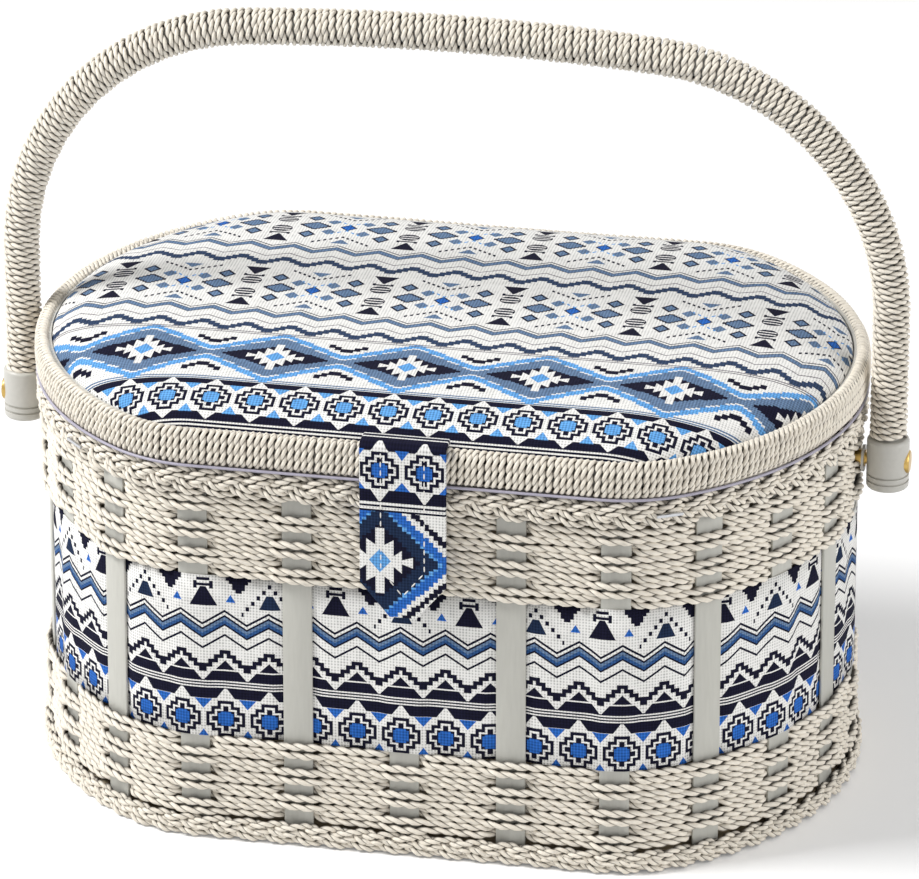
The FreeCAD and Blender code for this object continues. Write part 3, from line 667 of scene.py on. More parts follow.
def new_object(name, points, faces, material):
    """Mesh object from points and faces, smooth shaded."""
    mesh = bpy.data.meshes.new(name)
    mesh.from_pydata(points, [], faces)
    mesh.shade_smooth()
    mesh.materials.append(material)
    made = bpy.data.objects.new(name, mesh)
    bpy.context.collection.objects.link(made)
    return made


def lay_cord(path, outward, closed, radius, lay, turn=0.0):
    """Points, quads and groove values of one twisted cord: painted shade in the ply valleys and on the sides
    facing other cords, plus fibre streaks. Its lay is the length of one full twist.
    """
    if closed:
        path = np.vstack([path, path[:1]])
        outward = np.vstack([outward, outward[:1]])
    reach = np.concatenate([[0], np.cumsum(np.linalg.norm(np.diff(path, axis=0), axis=1))])
    twists = max(1, round(reach[-1] / lay))
    at = np.linspace(0, reach[-1], twists * RINGS_PER_LAY + 1)
    if closed:
        at = at[:-1]
    centre = np.stack([np.interp(at, reach, path[:, k]) for k in range(3)], 1)
    normal = np.stack([np.interp(at, reach, outward[:, k]) for k in range(3)], 1)
    if closed:
        tangent = np.roll(centre, -1, 0) - np.roll(centre, 1, 0)
    else:
        tangent = np.gradient(centre, axis=0)
    tangent /= np.linalg.norm(tangent, axis=1)[:, None]
    normal -= tangent * np.sum(normal * tangent, 1)[:, None]
    normal /= np.linalg.norm(normal, axis=1)[:, None]
    across = np.cross(tangent, normal)
    ply = PLY_SHARE * radius
    apart = radius - ply
    angle = np.concatenate([PLY_ANGLES + k * math.tau / PLIES for k in range(PLIES)])
    lobe = np.tile(PLY_ANGLES, PLIES)
    size = apart * np.cos(lobe) + np.sqrt(ply ** 2 - (apart * np.sin(lobe)) ** 2)
    twist = angle[None, :] + turn + (math.tau * twists / reach[-1] * at)[:, None]
    points = (centre[:, None, :] + (size * np.cos(twist))[:, :, None] * normal[:, None, :]
              + (size * np.sin(twist))[:, :, None] * across[:, None, :]).reshape(-1, 3)
    count = len(at)
    ring = np.arange(count if closed else count - 1)
    after = (ring + 1) % count
    side = np.arange(SECTION_POINTS)
    beside = (side + 1) % SECTION_POINTS
    corners = [ring[:, None] * SECTION_POINTS + side, after[:, None] * SECTION_POINTS + side,
               after[:, None] * SECTION_POINTS + beside, ring[:, None] * SECTION_POINTS + beside]
    quads = np.stack([c.reshape(-1) for c in corners], 1)[:, ::-1]
    # Painted shade on the sides that face neighbouring cords and in the valleys between the plies; the fibre
    # streaks are the paper's own tone.
    painted_side_shade = HIDDEN_SHADE * np.clip((HIDDEN_FROM - np.cos(twist)) / HIDDEN_SPAN, 0, 1)
    between = np.where(np.abs(lobe) > GROOVE_ANGLE, 1.0, 0.0)
    fibres = fibre_rng.normal(size=twist.shape)
    fibres = sum(np.roll(fibres, k, 0) for k in range(FIBRE_RINGS)) / math.sqrt(FIBRE_RINGS)
    depth = np.maximum(painted_side_shade, between[None, :]) + FIBRE_SHADE * np.abs(fibres)
    return points, quads, np.clip(depth, 0, 1).reshape(-1)


def cord_object(name, cords, material):
    """One object from several laid cords."""
    points, faces, depths, start = [], [], [], 0
    for cord_points, quads, depth in cords:
        points.append(cord_points)
        depths.append(depth)
        faces.append(quads + start)
        start += len(cord_points)
    made = new_object(name, np.vstack(points).tolist(), np.vstack(faces).tolist(), material)
    # The groove attribute holds the painted shade of the grooves and hidden sides, with the fibre streaks.
    groove = made.data.attributes.new("groove", "FLOAT", "POINT")
    groove.data.foreach_set("value", np.concatenate(depths))
    return made


def around(distance, inset, height):
    """Path points and outward directions at insets and heights along the outline."""
    points, outward = stations(distance)
    points = points - outward * inset[:, None]
    return np.column_stack([points, height]), np.column_stack([outward, np.zeros(len(points))])


cord_radius = 1.3 * MM
cord_lay = 7.2 * MM
row_cord_radius = 1.52 * MM
row_cord_lay = 9.8 * MM
print("cord", 2 * cord_radius, "m thick, one twist every", cord_lay, "m")

# %% [markdown]
# Each woven row is a pair of cords that passes in front of one rib and behind the next. Rows above each
# other change places, so windows of rib show in a brick pattern. A basket maker pushes each row down by
# hand, so the cords wander a little.

# %% Woven rows
rng = np.random.default_rng(7)
rows_per_band = 6
row_steps = 24 * rib_count
row_insets = (1.2 * MM, 2.3 * MM, 5.0 * MM)
row_spreads = (1.62 * MM, 1.3 * MM, 1.0 * MM)
row_drift = 0.12 * MM
rib_hold = 7.4 * MM


def weave_inset(walk, parity, insets):
    """Inset of a strand that passes in front of the ribs of one parity and behind the others."""
    in_front, between, behind = insets
    inset = np.full(len(walk), between)
    for k, place in zip(rib_index, rib_places):
        away = np.mod(walk - place + perimeter / 2, perimeter) - perimeter / 2
        hold = np.exp(-(away / rib_hold) ** 6)
        inset = inset + hold * ((in_front if k % 2 == parity else behind) - between)
    return inset


def wander(walk, size):
    """Slow random drift along a closed path."""
    drift = np.zeros(len(walk))
    for wave in range(3, 40, 4):
        drift += rng.normal() * np.sin(math.tau * wave * walk / perimeter + rng.uniform(0, math.tau)) / 3
    return drift * size


row_walk = np.arange(row_steps) * perimeter / row_steps
for band, first in (("lower", 0), ("upper", 1)):
    for row in range(rows_per_band):
        node = "%s_row_%d" % (band, row + 1)
        low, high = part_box(node)
        cords = []
        inset = weave_inset(row_walk, (row + first) % 2, row_insets)
        apart = np.interp(inset, row_insets, row_spreads)
        for side in (-1, 1):
            height = (low.z + high.z) / 2 + side * apart + wander(row_walk, row_drift)
            path, outward = around(row_walk, inset + wander(row_walk, row_drift), height)
            start_turn = rng.uniform(0, math.tau)
            cords.append(lay_cord(path, outward, True, row_cord_radius, row_cord_lay, start_turn))
        made = cord_object("cords_" + node, cords, looks["paper_cord"])
        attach(made, "basket")
        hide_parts(node)
print("12 rows of two cords, each of", len(made.data.polygons), "faces")

# %% [markdown]
# The foot and the mouth of the basket are finished with a plait of three strands, each a pair of cords. In
# a plait every strand swings from edge to edge and passes over and under the others, which two sine waves
# describe well.

# %% Plaited braids
plaits = 27
plait_steps = 48 * plaits
plait_strands = 3
pair_share = 0.92


def plait(node, swing, lift, depth):
    """Plait of cord pairs along the outline, in the space of a braid."""
    low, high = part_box(node)
    middle = (low.z + high.z) / 2
    fine = np.arange(plait_steps) * perimeter / plait_steps
    cords = []
    for strand in range(plait_strands):
        phase = math.tau * plaits * fine / perimeter + math.tau * strand / plait_strands
        slope = swing * math.tau * plaits / perimeter * np.cos(phase)
        lean = np.sqrt(1 + slope ** 2)
        for side in (-1, 1):
            shift = side * pair_share * cord_radius
            path, outward = around(fine - shift * slope / lean, depth - lift * np.sin(2 * phase),
                                   middle + swing * np.sin(phase) + shift / lean)
            start_turn = rng.uniform(0, math.tau)
            cords.append(lay_cord(path, outward, True, cord_radius, cord_lay, start_turn))
    made = cord_object("plait_" + node, cords, looks["paper_cord"])
    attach(made, "basket")
    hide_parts(node)
    return made


top_plait = plait("top_braid", swing=2.85 * MM, lift=1.2 * MM, depth=1.2 * MM)
bottom_plait = plait("bottom_braid", swing=1.65 * MM, lift=1.0 * MM, depth=0.9 * MM)
print("two plaits,", len(top_plait.data.polygons) + len(bottom_plait.data.polygons), "faces")

# %% [markdown]
# The lid's rim is a flat hoop with cord wound round it, turn beside turn, all the way round the lid. The
# winding is a long path that circles the hoop's section some 350 times on its way round the outline. A
# winder joins on a new cord when one runs out, and here one cord winds the right half and another the left
# half.

# %% Winding of the rim
low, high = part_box("lid_rim_wrap")
rim_turns = 352
steps_per_turn = 24
rim_middle = 1.5 * MM
rim_half_thickness = 3.0 * MM - cord_radius
rim_half_height = (high.z - low.z) / 2 - cord_radius
for half, name in enumerate(("rim_winding_right", "rim_winding_left")):
    turn = np.arange(rim_turns * steps_per_turn // 2 + 1) / steps_per_turn + half * rim_turns / 2
    spin = turn * math.tau
    out_share = np.sign(np.cos(spin)) * np.abs(np.cos(spin)) ** 0.7
    up_share = np.sign(np.sin(spin)) * np.abs(np.sin(spin)) ** 0.6
    uneven = 0.06 * np.sin(turn * 1.9) + 0.05 * np.sin(turn * 0.83)
    path, outward = around((turn + uneven) * perimeter / rim_turns,
                           rim_middle - rim_half_thickness * out_share,
                           (low.z + high.z) / 2 + rim_half_height * up_share)
    facing = outward * np.cos(spin)[:, None] + np.outer(np.sin(spin), (0, 0, 1))
    rim_cord = cord_object(name, [lay_cord(path, facing, False, cord_radius, cord_lay)], looks["paper_cord"])
    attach(rim_cord, "lid")
    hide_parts("lid_rim_wrap")
print("rim winding of", rim_turns, "turns, each half", len(rim_cord.data.polygons), "faces")

# %% [markdown]
# The handle is a bent plastic rod with the same cord wound tightly round it from cap to cap. The rod's arch
# is two upright arms, two round bends and a gently crowned top. The winding is a spring shape along that
# arch.

# %% Winding of the handle
core_low, core_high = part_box("handle_core")
core_radius = 4.0 * MM
arm_x = (core_high.x - core_low.x) / 2 - core_radius
wrap_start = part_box("handle_wrap")[0].z
crown_top = core_high.z - core_radius
bend_radius = 86.0 * MM
wrap_radius = 6.6 * MM
crown_radius = 0.9
bend_x = arm_x - bend_radius
crown_z = crown_top - crown_radius
bend_z = crown_z + math.sqrt((crown_radius - bend_radius) ** 2 - bend_x ** 2)
bend_turn = math.atan2(bend_z - crown_z, bend_x)
arm_run = bend_z - wrap_start
arch_length = 2 * (arm_run + bend_radius * bend_turn) + crown_radius * (math.pi - 2 * bend_turn)


def arch(distance):
    """Points and outward directions of the handle's centre line, from the right cap over to the left one."""
    mirrored = distance > arch_length / 2
    run = np.where(mirrored, arch_length - distance, distance)
    on_arm = run <= arm_run
    on_bend = run <= arm_run + bend_radius * bend_turn
    angle = np.where(on_bend, (run - arm_run) / bend_radius,
                     bend_turn + (run - arm_run - bend_radius * bend_turn) / crown_radius)
    angle = np.where(on_arm, 0, angle)
    x = np.where(on_bend, bend_x + bend_radius * np.cos(angle), crown_radius * np.cos(angle))
    z = np.where(on_bend, bend_z + bend_radius * np.sin(angle), crown_z + crown_radius * np.sin(angle))
    z = np.where(on_arm, wrap_start + run, z)
    side = np.where(mirrored, -1, 1)
    zero = np.zeros(len(run))
    return np.column_stack([x * side, zero, z]), np.column_stack([np.cos(angle) * side, zero, np.sin(angle)])


handle_turns = 201
spin = np.arange(handle_turns * steps_per_turn + 1) * math.tau / steps_per_turn
turn = spin / math.tau
uneven = (0.08 * np.sin(turn * 2.1) + 0.06 * np.sin(turn * 0.77)) * np.sin(math.pi * turn / handle_turns)
centre, outward = arch((turn + uneven) / handle_turns * arch_length)
facing = outward * np.cos(spin)[:, None] + np.outer(np.sin(spin), (0, 1, 0))
path = centre + facing * (wrap_radius - cord_radius)
handle_cord = cord_object("handle_winding", [lay_cord(path, facing, False, cord_radius, cord_lay)],
                          looks["paper_cord"])
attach(handle_cord, "handle")
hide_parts("handle_wrap")
print("handle winding of", handle_turns, "turns over", round(arch_length, 3), "m")

# %% [markdown]
# The ribs are flat strips of plastic. The CAD ribs have knife-sharp edges, and real strips don't, so copies
# of them are joined up, cleaned and given a small bevel that catches the light.

# %% Ribs
def active(made):
    """Make one object the only selected and active one."""
    bpy.ops.object.select_all(action="DESELECT")
    made.select_set(True)
    bpy.context.view_layer.objects.active = made


def apply_modifier(made, name, kind, **settings):
    """Add a modifier with settings and apply it."""
    active(made)
    modifier = made.modifiers.new(name, kind)
    for key, value in settings.items():
        setattr(modifier, key, value)
    bpy.ops.object.modifier_apply(modifier=name)


for node in ("under_ribs", "over_ribs"):
    mesh = frame["nodes"][node].data.copy()
    made = bpy.data.objects.new("bevelled_" + node, mesh)
    bpy.context.collection.objects.link(made)
    active(made)
    bpy.ops.object.mode_set(mode="EDIT")
    bpy.ops.mesh.select_all(action="SELECT")
    bpy.ops.mesh.remove_doubles(threshold=0.00001)
    bpy.ops.mesh.dissolve_limited(angle_limit=0.03)
    bpy.ops.object.mode_set(mode="OBJECT")
    apply_modifier(made, "edge", "BEVEL", width=0.3 * MM, segments=2, limit_method="ANGLE", angle_limit=0.7)
    bpy.ops.object.shade_smooth_by_angle(angle=0.6)
    mesh.materials.clear()
    mesh.materials.append(looks["rib_plastic"])
    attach(made, "basket")
    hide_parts(node)
    print(made.name, len(mesh.polygons), "faces")

# %% [markdown]
# The canvas band is one long strip, woven past the ribs like the cords but in front of every second one.
# Its ends meet at the back. Each point keeps its place on the flat strip in the cloth attribute, so the
# print follows it.

# %% Canvas band
def set_cloth(made, places):
    """Store flat places in millimetres on the points of a mesh."""
    attribute = made.data.attributes.new("cloth", "FLOAT_VECTOR", "POINT")
    flat = np.column_stack([places, np.zeros(len(places))]) / MM
    attribute.data.foreach_set("vector", flat.reshape(-1))


def grid_faces(rows, columns):
    """Quads of a grid of points stored row by row."""
    faces = []
    for r in range(rows - 1):
        for c in range(columns - 1):
            k = r * columns + c
            faces.append((k, k + 1, k + columns + 1, k + columns))
    return faces


band_low, band_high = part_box("canvas_band")
band_insets = (2.1 * MM, 3.0 * MM, 4.1 * MM)
band_margin = 0.1 * MM
columns = 12 * rib_count + 1
levels = np.linspace(band_low.z + band_margin, band_high.z - band_margin, 7)
walk = np.linspace(-perimeter / 2, perimeter / 2, columns)
inset = weave_inset(walk, 0, band_insets)
points = []
places = []
for level in levels:
    path, outward = around(walk, inset, np.full(columns, level))
    points.append(path)
    places.append(np.column_stack([walk, np.full(columns, level)]))
band = new_object("canvas_strip", np.vstack(points).tolist(), grid_faces(len(levels), columns),
                  looks["band_canvas"])
set_cloth(band, np.vstack(places))
apply_modifier(band, "cloth thickness", "SOLIDIFY", thickness=0.6 * MM, offset=0.0)
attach(band, "basket")
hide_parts("canvas_band")

# %% [markdown]
# The lid is a board with wadding on it and the canvas pulled over both. It starts as the outline drawn as
# one face. The face is extruded up the side of the board, and then inset again and again, a little higher
# each time, so the crown rises steeply at the rim and flattens towards the middle, as a stuffed cover does.

# %% Padded lid
cover_low, cover_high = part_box("lid_cover")
cover_inset = half_depth - cover_high.y
pad_edge = 147.3 * MM
pad_crown = cover_high.z - pad_edge
pad_reach = corner_radius - cover_inset
inset_shares = np.array([0.0, 0.04, 0.13, 0.32, 0.62, 0.9])
height_shares = np.array([0.0, 0.27, 0.5, 0.75, 0.94, 1.0])
fine_shares = np.array([0.0, 0.012, 0.035, 0.07, 0.12, 0.18, 0.25, 0.33, 0.42, 0.52, 0.63, 0.75, 0.88])
flat_from_share = 0.92
roundness = 2.6
stepped_shares = np.interp(fine_shares, inset_shares, height_shares)
slope_shares = 1 - np.clip(fine_shares / flat_from_share, 0, 1)
smooth_shares = np.sqrt(np.clip(1 - slope_shares ** roundness, 0, 1))
crown_shares = (stepped_shares + smooth_shares) / 2
crown_shares[-1] = 1.0
cover_points = 240
ring_walk = np.arange(cover_points) * perimeter / cover_points
path, outward = around(ring_walk, np.full(cover_points, cover_inset), np.full(cover_points, cover_low.z))
cover = new_object("padded_cover", path.tolist(), [list(range(cover_points))], looks["lid_canvas"])
active(cover)
bpy.ops.object.mode_set(mode="EDIT")
bpy.ops.mesh.select_mode(type="FACE")
bpy.ops.mesh.select_all(action="SELECT")
bpy.ops.mesh.extrude_region_move(TRANSFORM_OT_translate={"value": (0, 0, pad_edge - cover_low.z)})
for k in range(1, len(fine_shares)):
    bpy.ops.mesh.inset(thickness=pad_reach * (fine_shares[k] - fine_shares[k - 1]),
                       depth=pad_crown * (crown_shares[k] - crown_shares[k - 1]), use_even_offset=True)
bpy.ops.mesh.poke()
bpy.ops.mesh.select_all(action="SELECT")
bpy.ops.mesh.normals_make_consistent(inside=False)
bpy.ops.object.mode_set(mode="OBJECT")
bpy.ops.object.shade_smooth_by_angle(angle=1.2)
print("lid cover of", len(cover.data.polygons), "faces")

# %% [markdown]
# The print on the lid follows the cloth, not the floor plan: on the steep edge the cloth runs further than
# its plan shows. So the flat place of each point is pushed outwards by the length of the slope that lies
# behind it.

# %% Flat places on the lid
profile_in = cover_inset + pad_reach * fine_shares
profile_up = pad_edge + pad_crown * crown_shares
slope_run = np.concatenate([[0], np.cumsum(np.hypot(np.diff(profile_in), np.diff(profile_up)))])
slope_extra = (slope_run[-1] - slope_run) - (profile_in[-1] - profile_in)
spots = np.array([v.co[:] for v in cover.data.vertices])
spot_inset, spot_out = inset_of(spots[:, :2])
extra = np.interp(spot_inset, profile_in, slope_extra)
extra = extra + np.maximum(pad_edge - spots[:, 2], 0)
flat_places = spots[:, :2] + spot_out * extra[:, None]
front_edge = -(half_depth - cover_inset) - slope_extra[0]
set_cloth(cover, flat_places - np.array([0, front_edge]))
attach(cover, "lid")
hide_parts("lid_cover", "lid_padding")
print("slope of the lid's cloth", round(float(slope_run[-1]), 4), "m")

# %% [markdown]
# The closing tab is a strip of doubled canvas with a pointed end. It is sewn to the lid, folds over the rim
# and hangs down the front, where a magnet holds it. A flat grid is shaped to the pointed outline, bent over
# the rim and given a thickness.

# %% Closing tab
anchor_low, anchor_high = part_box("tab_anchor")
flap_low, flap_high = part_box("tab_flap")
tab_middle = (flap_low.x + flap_high.x) / 2
tab_half = (flap_high.x - flap_low.x) / 2
tab_plane = (flap_low.y + flap_high.y) / 2
tab_top = (anchor_low.z + anchor_high.z) / 2
tab_thickness = 1.9 * MM
bend = 1.2 * MM
flat_run = anchor_high.y - (tab_plane + bend)
turn_run = bend * math.pi / 2
hang_run = tab_top - bend - flap_low.z
tab_run = flat_run + turn_run + hang_run
point_height = 12.0 * MM
point_half = 4.5 * MM


def tab_spot(across, run):
    """Place of a point of the tab: across from -1 to 1 and a run along it from the lid."""
    left = np.clip((tab_run - run) / point_height, 0, 1)
    half = point_half + (tab_half - point_half) * left
    angle = np.clip((run - flat_run) / bend, 0, math.pi / 2)
    on_flat = np.minimum(run, flat_run)
    hang = np.maximum(run - flat_run - turn_run, 0)
    y = anchor_high.y - on_flat - bend * np.sin(angle)
    z = tab_top - bend * (1 - np.cos(angle)) - hang
    return np.column_stack([tab_middle + across * half, y, z]), across * half


hang_start = flat_run + turn_run
point_start = tab_run - point_height
tab_rows = np.concatenate([np.linspace(0, flat_run, 4)[:-1], np.linspace(flat_run, hang_start, 7)[:-1],
                           np.linspace(hang_start, point_start, 24)[:-1],
                           np.linspace(point_start, tab_run, 8)])
tab_columns = np.linspace(-1, 1, 15)
run, across = [m.reshape(-1) for m in np.meshgrid(tab_rows, tab_columns, indexing="ij")]
spots, width = tab_spot(across, run)
tab = new_object("closing_tab", spots.tolist(), grid_faces(len(tab_rows), len(tab_columns)),
                 looks["tab_canvas"])
set_cloth(tab, np.column_stack([width, run - flat_run]))
apply_modifier(tab, "two layers", "SOLIDIFY", thickness=tab_thickness, offset=0.0)
apply_modifier(tab, "soft edges", "BEVEL", width=0.6 * MM, segments=3, limit_method="ANGLE", angle_limit=0.9)
bpy.ops.object.shade_smooth_by_angle(angle=0.9)
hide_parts("tab_flap", "tab_anchor")
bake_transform(tab)
print("tab", len(tab.data.polygons), "faces,", round(tab_run, 4), "m along the cloth")

# %% [markdown]
# The stitches that hold the tab's two layers together are separate short lengths of white thread, pressed a
# little into the canvas. Each is a small ball stretched along the seam, and the seam comes to a point near
# the tip.

# %% Stitches on the tab
stitch_length = 2.1 * MM
stitch_gap = 0.9 * MM
stitch_half_width = 0.24 * MM
stitch_half_depth = 0.22 * MM
seam_in = 7.2 * MM
seam_drop = 2.2 * MM
seam_turn = 17.0 * MM
seam_end = 8.0 * MM
seam_face = tab_plane - tab_thickness / 2
stitches = []
for side in (-1, 1):
    corner = Vector((tab_middle + side * (tab_half - seam_in), seam_face, flap_low.z + seam_turn))
    top = Vector((corner.x, seam_face, tab_top - seam_drop))
    tip = Vector((tab_middle, seam_face, flap_low.z + seam_end))
    for start, end in ((top, corner), (corner, tip)):
        run = (end - start).length
        count = int(run / (stitch_length + stitch_gap))
        lean = math.atan2(end.x - start.x, -(end.z - start.z))
        for k in range(count):
            spot = start + (end - start) * ((k + 0.5) / count)
            bpy.ops.mesh.primitive_uv_sphere_add(segments=8, ring_count=6, radius=1.0, location=spot)
            bpy.ops.transform.resize(value=(stitch_half_width, stitch_half_depth, stitch_length / 2),
                                     center_override=spot)
            bpy.ops.transform.rotate(value=lean, orient_axis="Y", center_override=spot)
            bpy.ops.object.transform_apply(location=True, rotation=True, scale=True)
            stitches.append(bpy.context.object)
bpy.ops.object.select_all(action="DESELECT")
for stitch in stitches:
    stitch.select_set(True)
bpy.context.view_layer.objects.active = stitches[0]
bpy.ops.object.join()
seam = bpy.context.object
seam.name = "tab_stitches"
bpy.ops.object.shade_smooth()
seam.data.materials.clear()
seam.data.materials.append(looks["thread"])
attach(seam, "tab")
tab_cut = 2 * tab_half * tab_run - point_height * (tab_half - point_half)
print(len(stitches), "stitches, tab cut of", round(tab_cut, 5), "square metres")

# %% [markdown]
# Everything hard keeps its CAD shape: the caps and pivots of the handle, the hinges, the boards, the tray
# and its ledge. They only need the materials that the record names for them.

# %% Hard pieces
for row in frame["record"]["subparts"]:
    piece = frame["nodes"][row["node"]]
    look = looks[row["material_slot"]]
    for k in range(len(piece.material_slots)):
        piece.material_slots[k].material = look
    if not piece.material_slots:
        piece.data.materials.append(look)

# %% [markdown]
# Inside, the basket has a satin lining with soft upright folds, glued to the wall board. It is a strip
# round the wall with a floor, so it is drawn ring by ring from the floor's middle out and up the wall.

# %% Lining of the basket
def ring_faces(rings, count, inwards):
    """Quads between rings of points, which face into the rings or out of them."""
    faces = []
    for r in range(rings - 1):
        for c in range(count):
            d = (c + 1) % count
            quad = (r * count + c, r * count + d, (r + 1) * count + d, (r + 1) * count + c)
            faces.append(quad if inwards else quad[:1] + quad[:0:-1])
    return faces


lining_low, lining_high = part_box("lining")
lining_inset = half_depth - lining_high.y + 0.35 * MM
fold_count = 90
fold_depth = 0.22 * MM
floor_reach = 42 * MM
floor_level = lining_low.z + 0.4 * MM
ring_points = fold_count * 8
walk = np.arange(ring_points) * perimeter / ring_points
rings = [(lining_inset + floor_reach * share, floor_level, 0.0) for share in (0.7, 0.4, 0.1)]
for level in np.linspace(lining_low.z + 0.6 * MM, lining_high.z - 0.2 * MM, 10):
    rings.append((lining_inset, level, fold_depth))
points = []
for ring_inset, level, depth in rings:
    wave = depth * np.sin(math.tau * fold_count * walk / perimeter)
    path, outward = around(walk, ring_inset + wave, np.full(ring_points, level))
    points.append(path)
faces = [list(range(ring_points))] + ring_faces(len(rings), ring_points, True)
lining = new_object("satin_lining", np.vstack(points).tolist(), faces, looks["satin"])
apply_modifier(lining, "cloth thickness", "SOLIDIFY", thickness=0.3 * MM, offset=0.0)
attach(lining, "basket")
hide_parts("lining")

# %% [markdown]
# The lid is lined with the same satin over thin wadding. A gathered pocket and a small round pincushion are
# sewn to it, so small tools stay in reach when the lid is open.

# %% Lining of the lid
satin_low, satin_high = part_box("lid_lining")
satin_inset = half_depth - satin_high.y
satin_rings = ((0.0, 1.0), (0.0, 0.5), (1.2 * MM, 0.0), (12.0 * MM, 0.0), (30.0 * MM, 0.0))
satin_points = 200
walk = np.arange(satin_points) * perimeter / satin_points
points = []
for further_in, share in satin_rings:
    path, outward = around(walk, np.full(satin_points, satin_inset + further_in),
                           np.full(satin_points, satin_low.z + (satin_high.z - satin_low.z) * share))
    points.append(path)
last_ring = (len(satin_rings) - 1) * satin_points
faces = [list(range(last_ring, last_ring + satin_points))] + ring_faces(len(satin_rings), satin_points, False)
lid_satin = new_object("lid_satin", np.vstack(points).tolist(), faces, looks["satin"])
active(lid_satin)
bpy.ops.object.shade_smooth_by_angle(angle=0.8)
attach(lid_satin, "lid")
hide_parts("lid_lining")

# %% [markdown]
# The lining's edge is turned and sewn along the lower edge of the rim, where it shows as a pale line
# between lid and basket. A closed curve with a round bevel, turned into a mesh, makes such a piping.

# %% Piping under the rim
piping_radius = 0.5 * MM
piping_inset = -0.55 * MM
piping_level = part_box("lid_rim_wrap")[0].z + 0.2 * MM
piping_points = 300
walk = np.arange(piping_points) * perimeter / piping_points
path, outward = around(walk, np.full(piping_points, piping_inset), np.full(piping_points, piping_level))
piping_curve = bpy.data.curves.new("lid_piping", "CURVE")
piping_curve.dimensions = "3D"
piping_curve.bevel_depth = piping_radius
piping_curve.bevel_resolution = 3
line = piping_curve.splines.new("POLY")
line.points.add(len(path) - 1)
line.points.foreach_set("co", np.column_stack([path, np.ones(len(path))]).reshape(-1))
line.use_cyclic_u = True
piping = bpy.data.objects.new("lid_piping", piping_curve)
bpy.context.collection.objects.link(piping)
active(piping)
bpy.ops.object.convert(target="MESH")
bpy.ops.object.shade_smooth()
piping.data.materials.append(looks["satin"])
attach(piping, "lid")
print("piping", len(piping.data.polygons), "faces")

# %% [markdown]
# The pocket is a wide strip gathered along an elastic at its open edge, so its folds are deep there and
# fade towards the sewn edges. A grid with a ripple that grows towards the open edge gives that, and a hem
# with finer folds covers the elastic.

# %% Pocket
pocket_low, pocket_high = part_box("lid_pocket")
pocket_size = pocket_high - pocket_low
pocket_top = pocket_high.z - 0.1 * MM
pocket_columns, pocket_rows = 181, 18
pocket_folds = 19
across, along = np.meshgrid(np.linspace(0, 1, pocket_columns), np.linspace(0, 1, pocket_rows))
across, along = across.reshape(-1), along.reshape(-1)
edge = np.clip(np.minimum(across, 1 - across) * 12, 0, 1) * np.clip((1 - along) * 6, 0, 1)
fold_drift = 1.1 * np.sin(across * 23) + 0.9 * np.sin(along * 3 + across * 9)
fold_phase = across * math.tau * pocket_folds + fold_drift
ripple = 0.5 + 0.5 * np.sin(fold_phase)
sag = edge * (0.3 + 0.7 * ripple * (1 - along) ** 1.4) * (pocket_size.z - 0.5 * MM)
points = np.column_stack([pocket_low.x + pocket_size.x * across, pocket_low.y + pocket_size.y * along,
                          pocket_top - sag])
pocket = new_object("gathered_pocket", points.tolist(), grid_faces(pocket_rows, pocket_columns),
                    looks["satin"])
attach(pocket, "lid")
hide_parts("lid_pocket")
hem_depth = 5.0 * MM
hem_columns, hem_rows = 361, 7
hem_folds = 57
run, side = np.meshgrid(np.linspace(0, 1, hem_columns), np.linspace(-1, 1, hem_rows))
run, side = run.reshape(-1), side.reshape(-1)
edge = np.clip(np.minimum(run, 1 - run) * 12, 0, 1)
ripple = 0.7 + 0.3 * np.sin(run * math.tau * hem_folds + np.sin(run * 31))
puff = np.sqrt(np.clip(1 - side ** 2, 0, 1)) * ripple
sag = edge * (0.4 + 0.6 * puff) * (pocket_size.z - 0.2 * MM)
points = np.column_stack([pocket_low.x + pocket_size.x * run, pocket_low.y + hem_depth / 2 * (1 + side),
                          pocket_top - sag])
hem = new_object("pocket_hem", points.tolist(), grid_faces(hem_rows, hem_columns), looks["satin"])
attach(hem, "lid")

# %% [markdown]
# The pincushion is stuffed tight, so it is a full round pad. Eight threads run from the button at its
# middle to the rim and press grooves into the cloth. A flattened ball gets those grooves where it faces
# into the box.

# %% Pincushion
pin_low, pin_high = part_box("pincushion")
pin_centre = (pin_low + pin_high) / 2
pin_halves = (pin_high - pin_low) / 2
tuft_count = 8
tuft_depth = 1.1 * MM
tuft_width = 1.5 * MM
dimple_depth = 1.9 * MM
dimple_share = 0.16
button_radius = 2.6 * MM
bpy.ops.object.select_all(action="DESELECT")
bpy.ops.mesh.primitive_uv_sphere_add(segments=128, ring_count=40, radius=1.0, location=pin_centre)
cushion = bpy.context.object
cushion.name = "pincushion_pad"
bpy.ops.transform.resize(value=pin_halves, center_override=pin_centre)
bpy.ops.object.transform_apply(location=True, rotation=True, scale=True)
for vertex in cushion.data.vertices:
    offset = vertex.co - pin_centre
    turn = math.atan2(offset.y, offset.x) / math.tau * tuft_count % 1
    share = math.hypot(offset.x, offset.y) / pin_halves.x
    aside = min(turn, 1 - turn) / tuft_count * math.tau * share * pin_halves.x
    groove = tuft_depth * math.exp(-(aside / tuft_width) ** 2) * (1 - share ** 4)
    dimple = dimple_depth * math.exp(-(share / dimple_share) ** 2)
    if offset.z < 0:
        vertex.co.z += max(groove, dimple)
bpy.ops.object.shade_smooth()
cushion.data.materials.append(looks["pincushion_cloth"])
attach(cushion, "lid")
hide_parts("pincushion")
button_spot = Vector((pin_centre.x, pin_centre.y, pin_low.z + dimple_depth))
bpy.ops.object.select_all(action="DESELECT")
bpy.ops.mesh.primitive_uv_sphere_add(segments=24, ring_count=12, radius=button_radius, location=button_spot)
button = bpy.context.object
button.name = "pincushion_button"
bpy.ops.transform.resize(value=(1, 1, 0.5), center_override=button_spot)
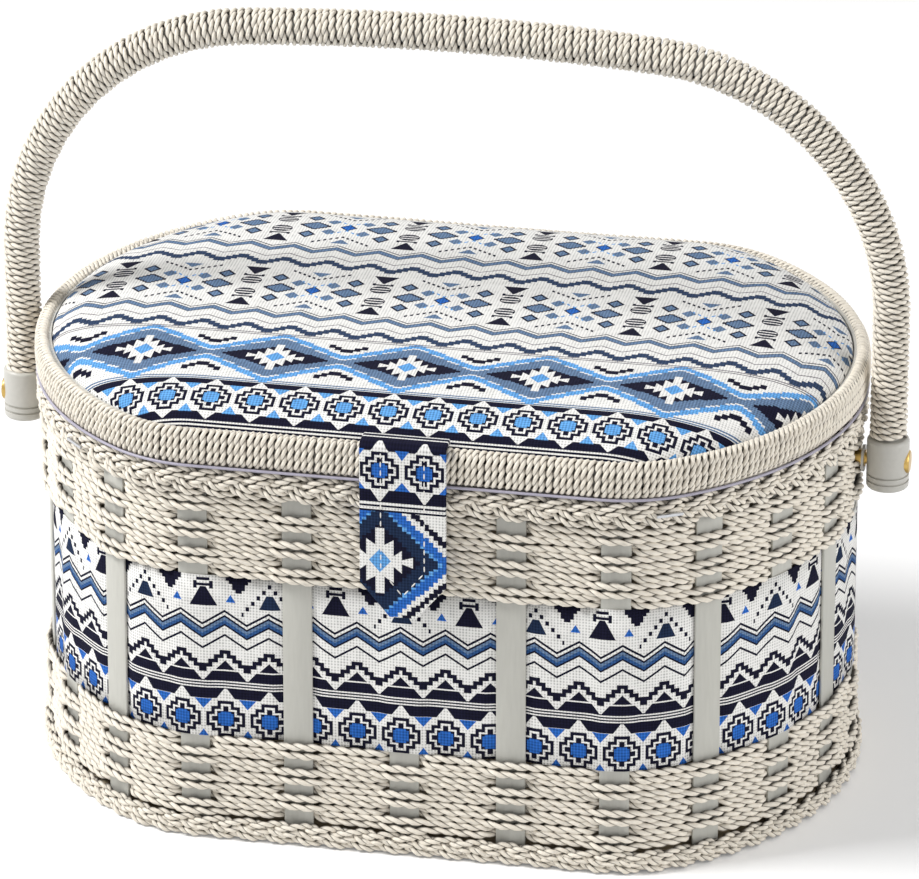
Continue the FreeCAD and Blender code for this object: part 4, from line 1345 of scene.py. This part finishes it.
bpy.ops.object.transform_apply(location=True, rotation=True, scale=True)
bpy.ops.object.shade_smooth()
button.data.materials.append(looks["pincushion_cloth"])
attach(button, "lid")
print("pincushion", len(cushion.data.polygons), "faces")

# %% [markdown]
# The box stands on a plain pale floor in soft studio light. A large lamp at the upper left gives the bright
# left end and the shade at the right, two wide ones fill the front and the right end, and the white world
# does the rest. The backdrop looks whiter than the light it sheds, so the object isn't washed out.

# %% Floor and light
def seen_directly(tree, otherwise, seen, socket):
    """Give a socket one value where a camera, mirror or glass ray ends and another for the light it sheds."""
    path = tree.nodes.new("ShaderNodeLightPath")
    seen_by = Field(tree, path.outputs["Is Camera Ray"]) | Field(tree, path.outputs["Is Glossy Ray"])
    seen_by = seen_by | Field(tree, path.outputs["Is Transmission Ray"])
    tree.links.new((seen_by * (seen - otherwise) + otherwise).socket, socket)


bpy.ops.mesh.primitive_plane_add(size=30, location=(0, 0, 0))
floor = bpy.context.object
floor.name = "studio_floor"
paper = surface("floor_paper", (244, 244, 244), 0.9, specular=0.1)
paper_shader = paper.node_tree.nodes["Principled BSDF"]
paper_shader.inputs["Emission Color"].default_value = (1.0, 1.0, 1.0, 1.0)
seen_directly(paper.node_tree, 0.0, 0.15, paper_shader.inputs["Emission Strength"])
floor.data.materials.append(paper)
world = bpy.data.worlds.new("studio")
world.use_nodes = True
sky = world.node_tree.nodes["Background"]
sky.inputs["Color"].default_value = (1.0, 1.0, 1.0, 1.0)
seen_directly(world.node_tree, 0.36, 0.95, sky.inputs["Strength"])
bpy.context.scene.world = world


def lamp(name, place, size, power):
    """Square area lamp that looks at the basket."""
    data = bpy.data.lights.new(name, "AREA")
    data.energy = power
    data.size = size
    made = bpy.data.objects.new(name, data)
    bpy.context.collection.objects.link(made)
    made.location = place
    made.rotation_euler = (body_middle - made.location).to_track_quat("-Z", "Y").to_euler()


lamp("key", Vector((-1.6, -0.55, 1.8)), 0.8, 57.0)
lamp("fill", Vector((0.8, -2.2, 1.2)), 1.6, 2.0)
lamp("side", Vector((2.3, -0.3, 0.9)), 1.5, 25.0)
bpy.context.scene.view_settings.view_transform = "Standard"
print("floor, world and three lamps")
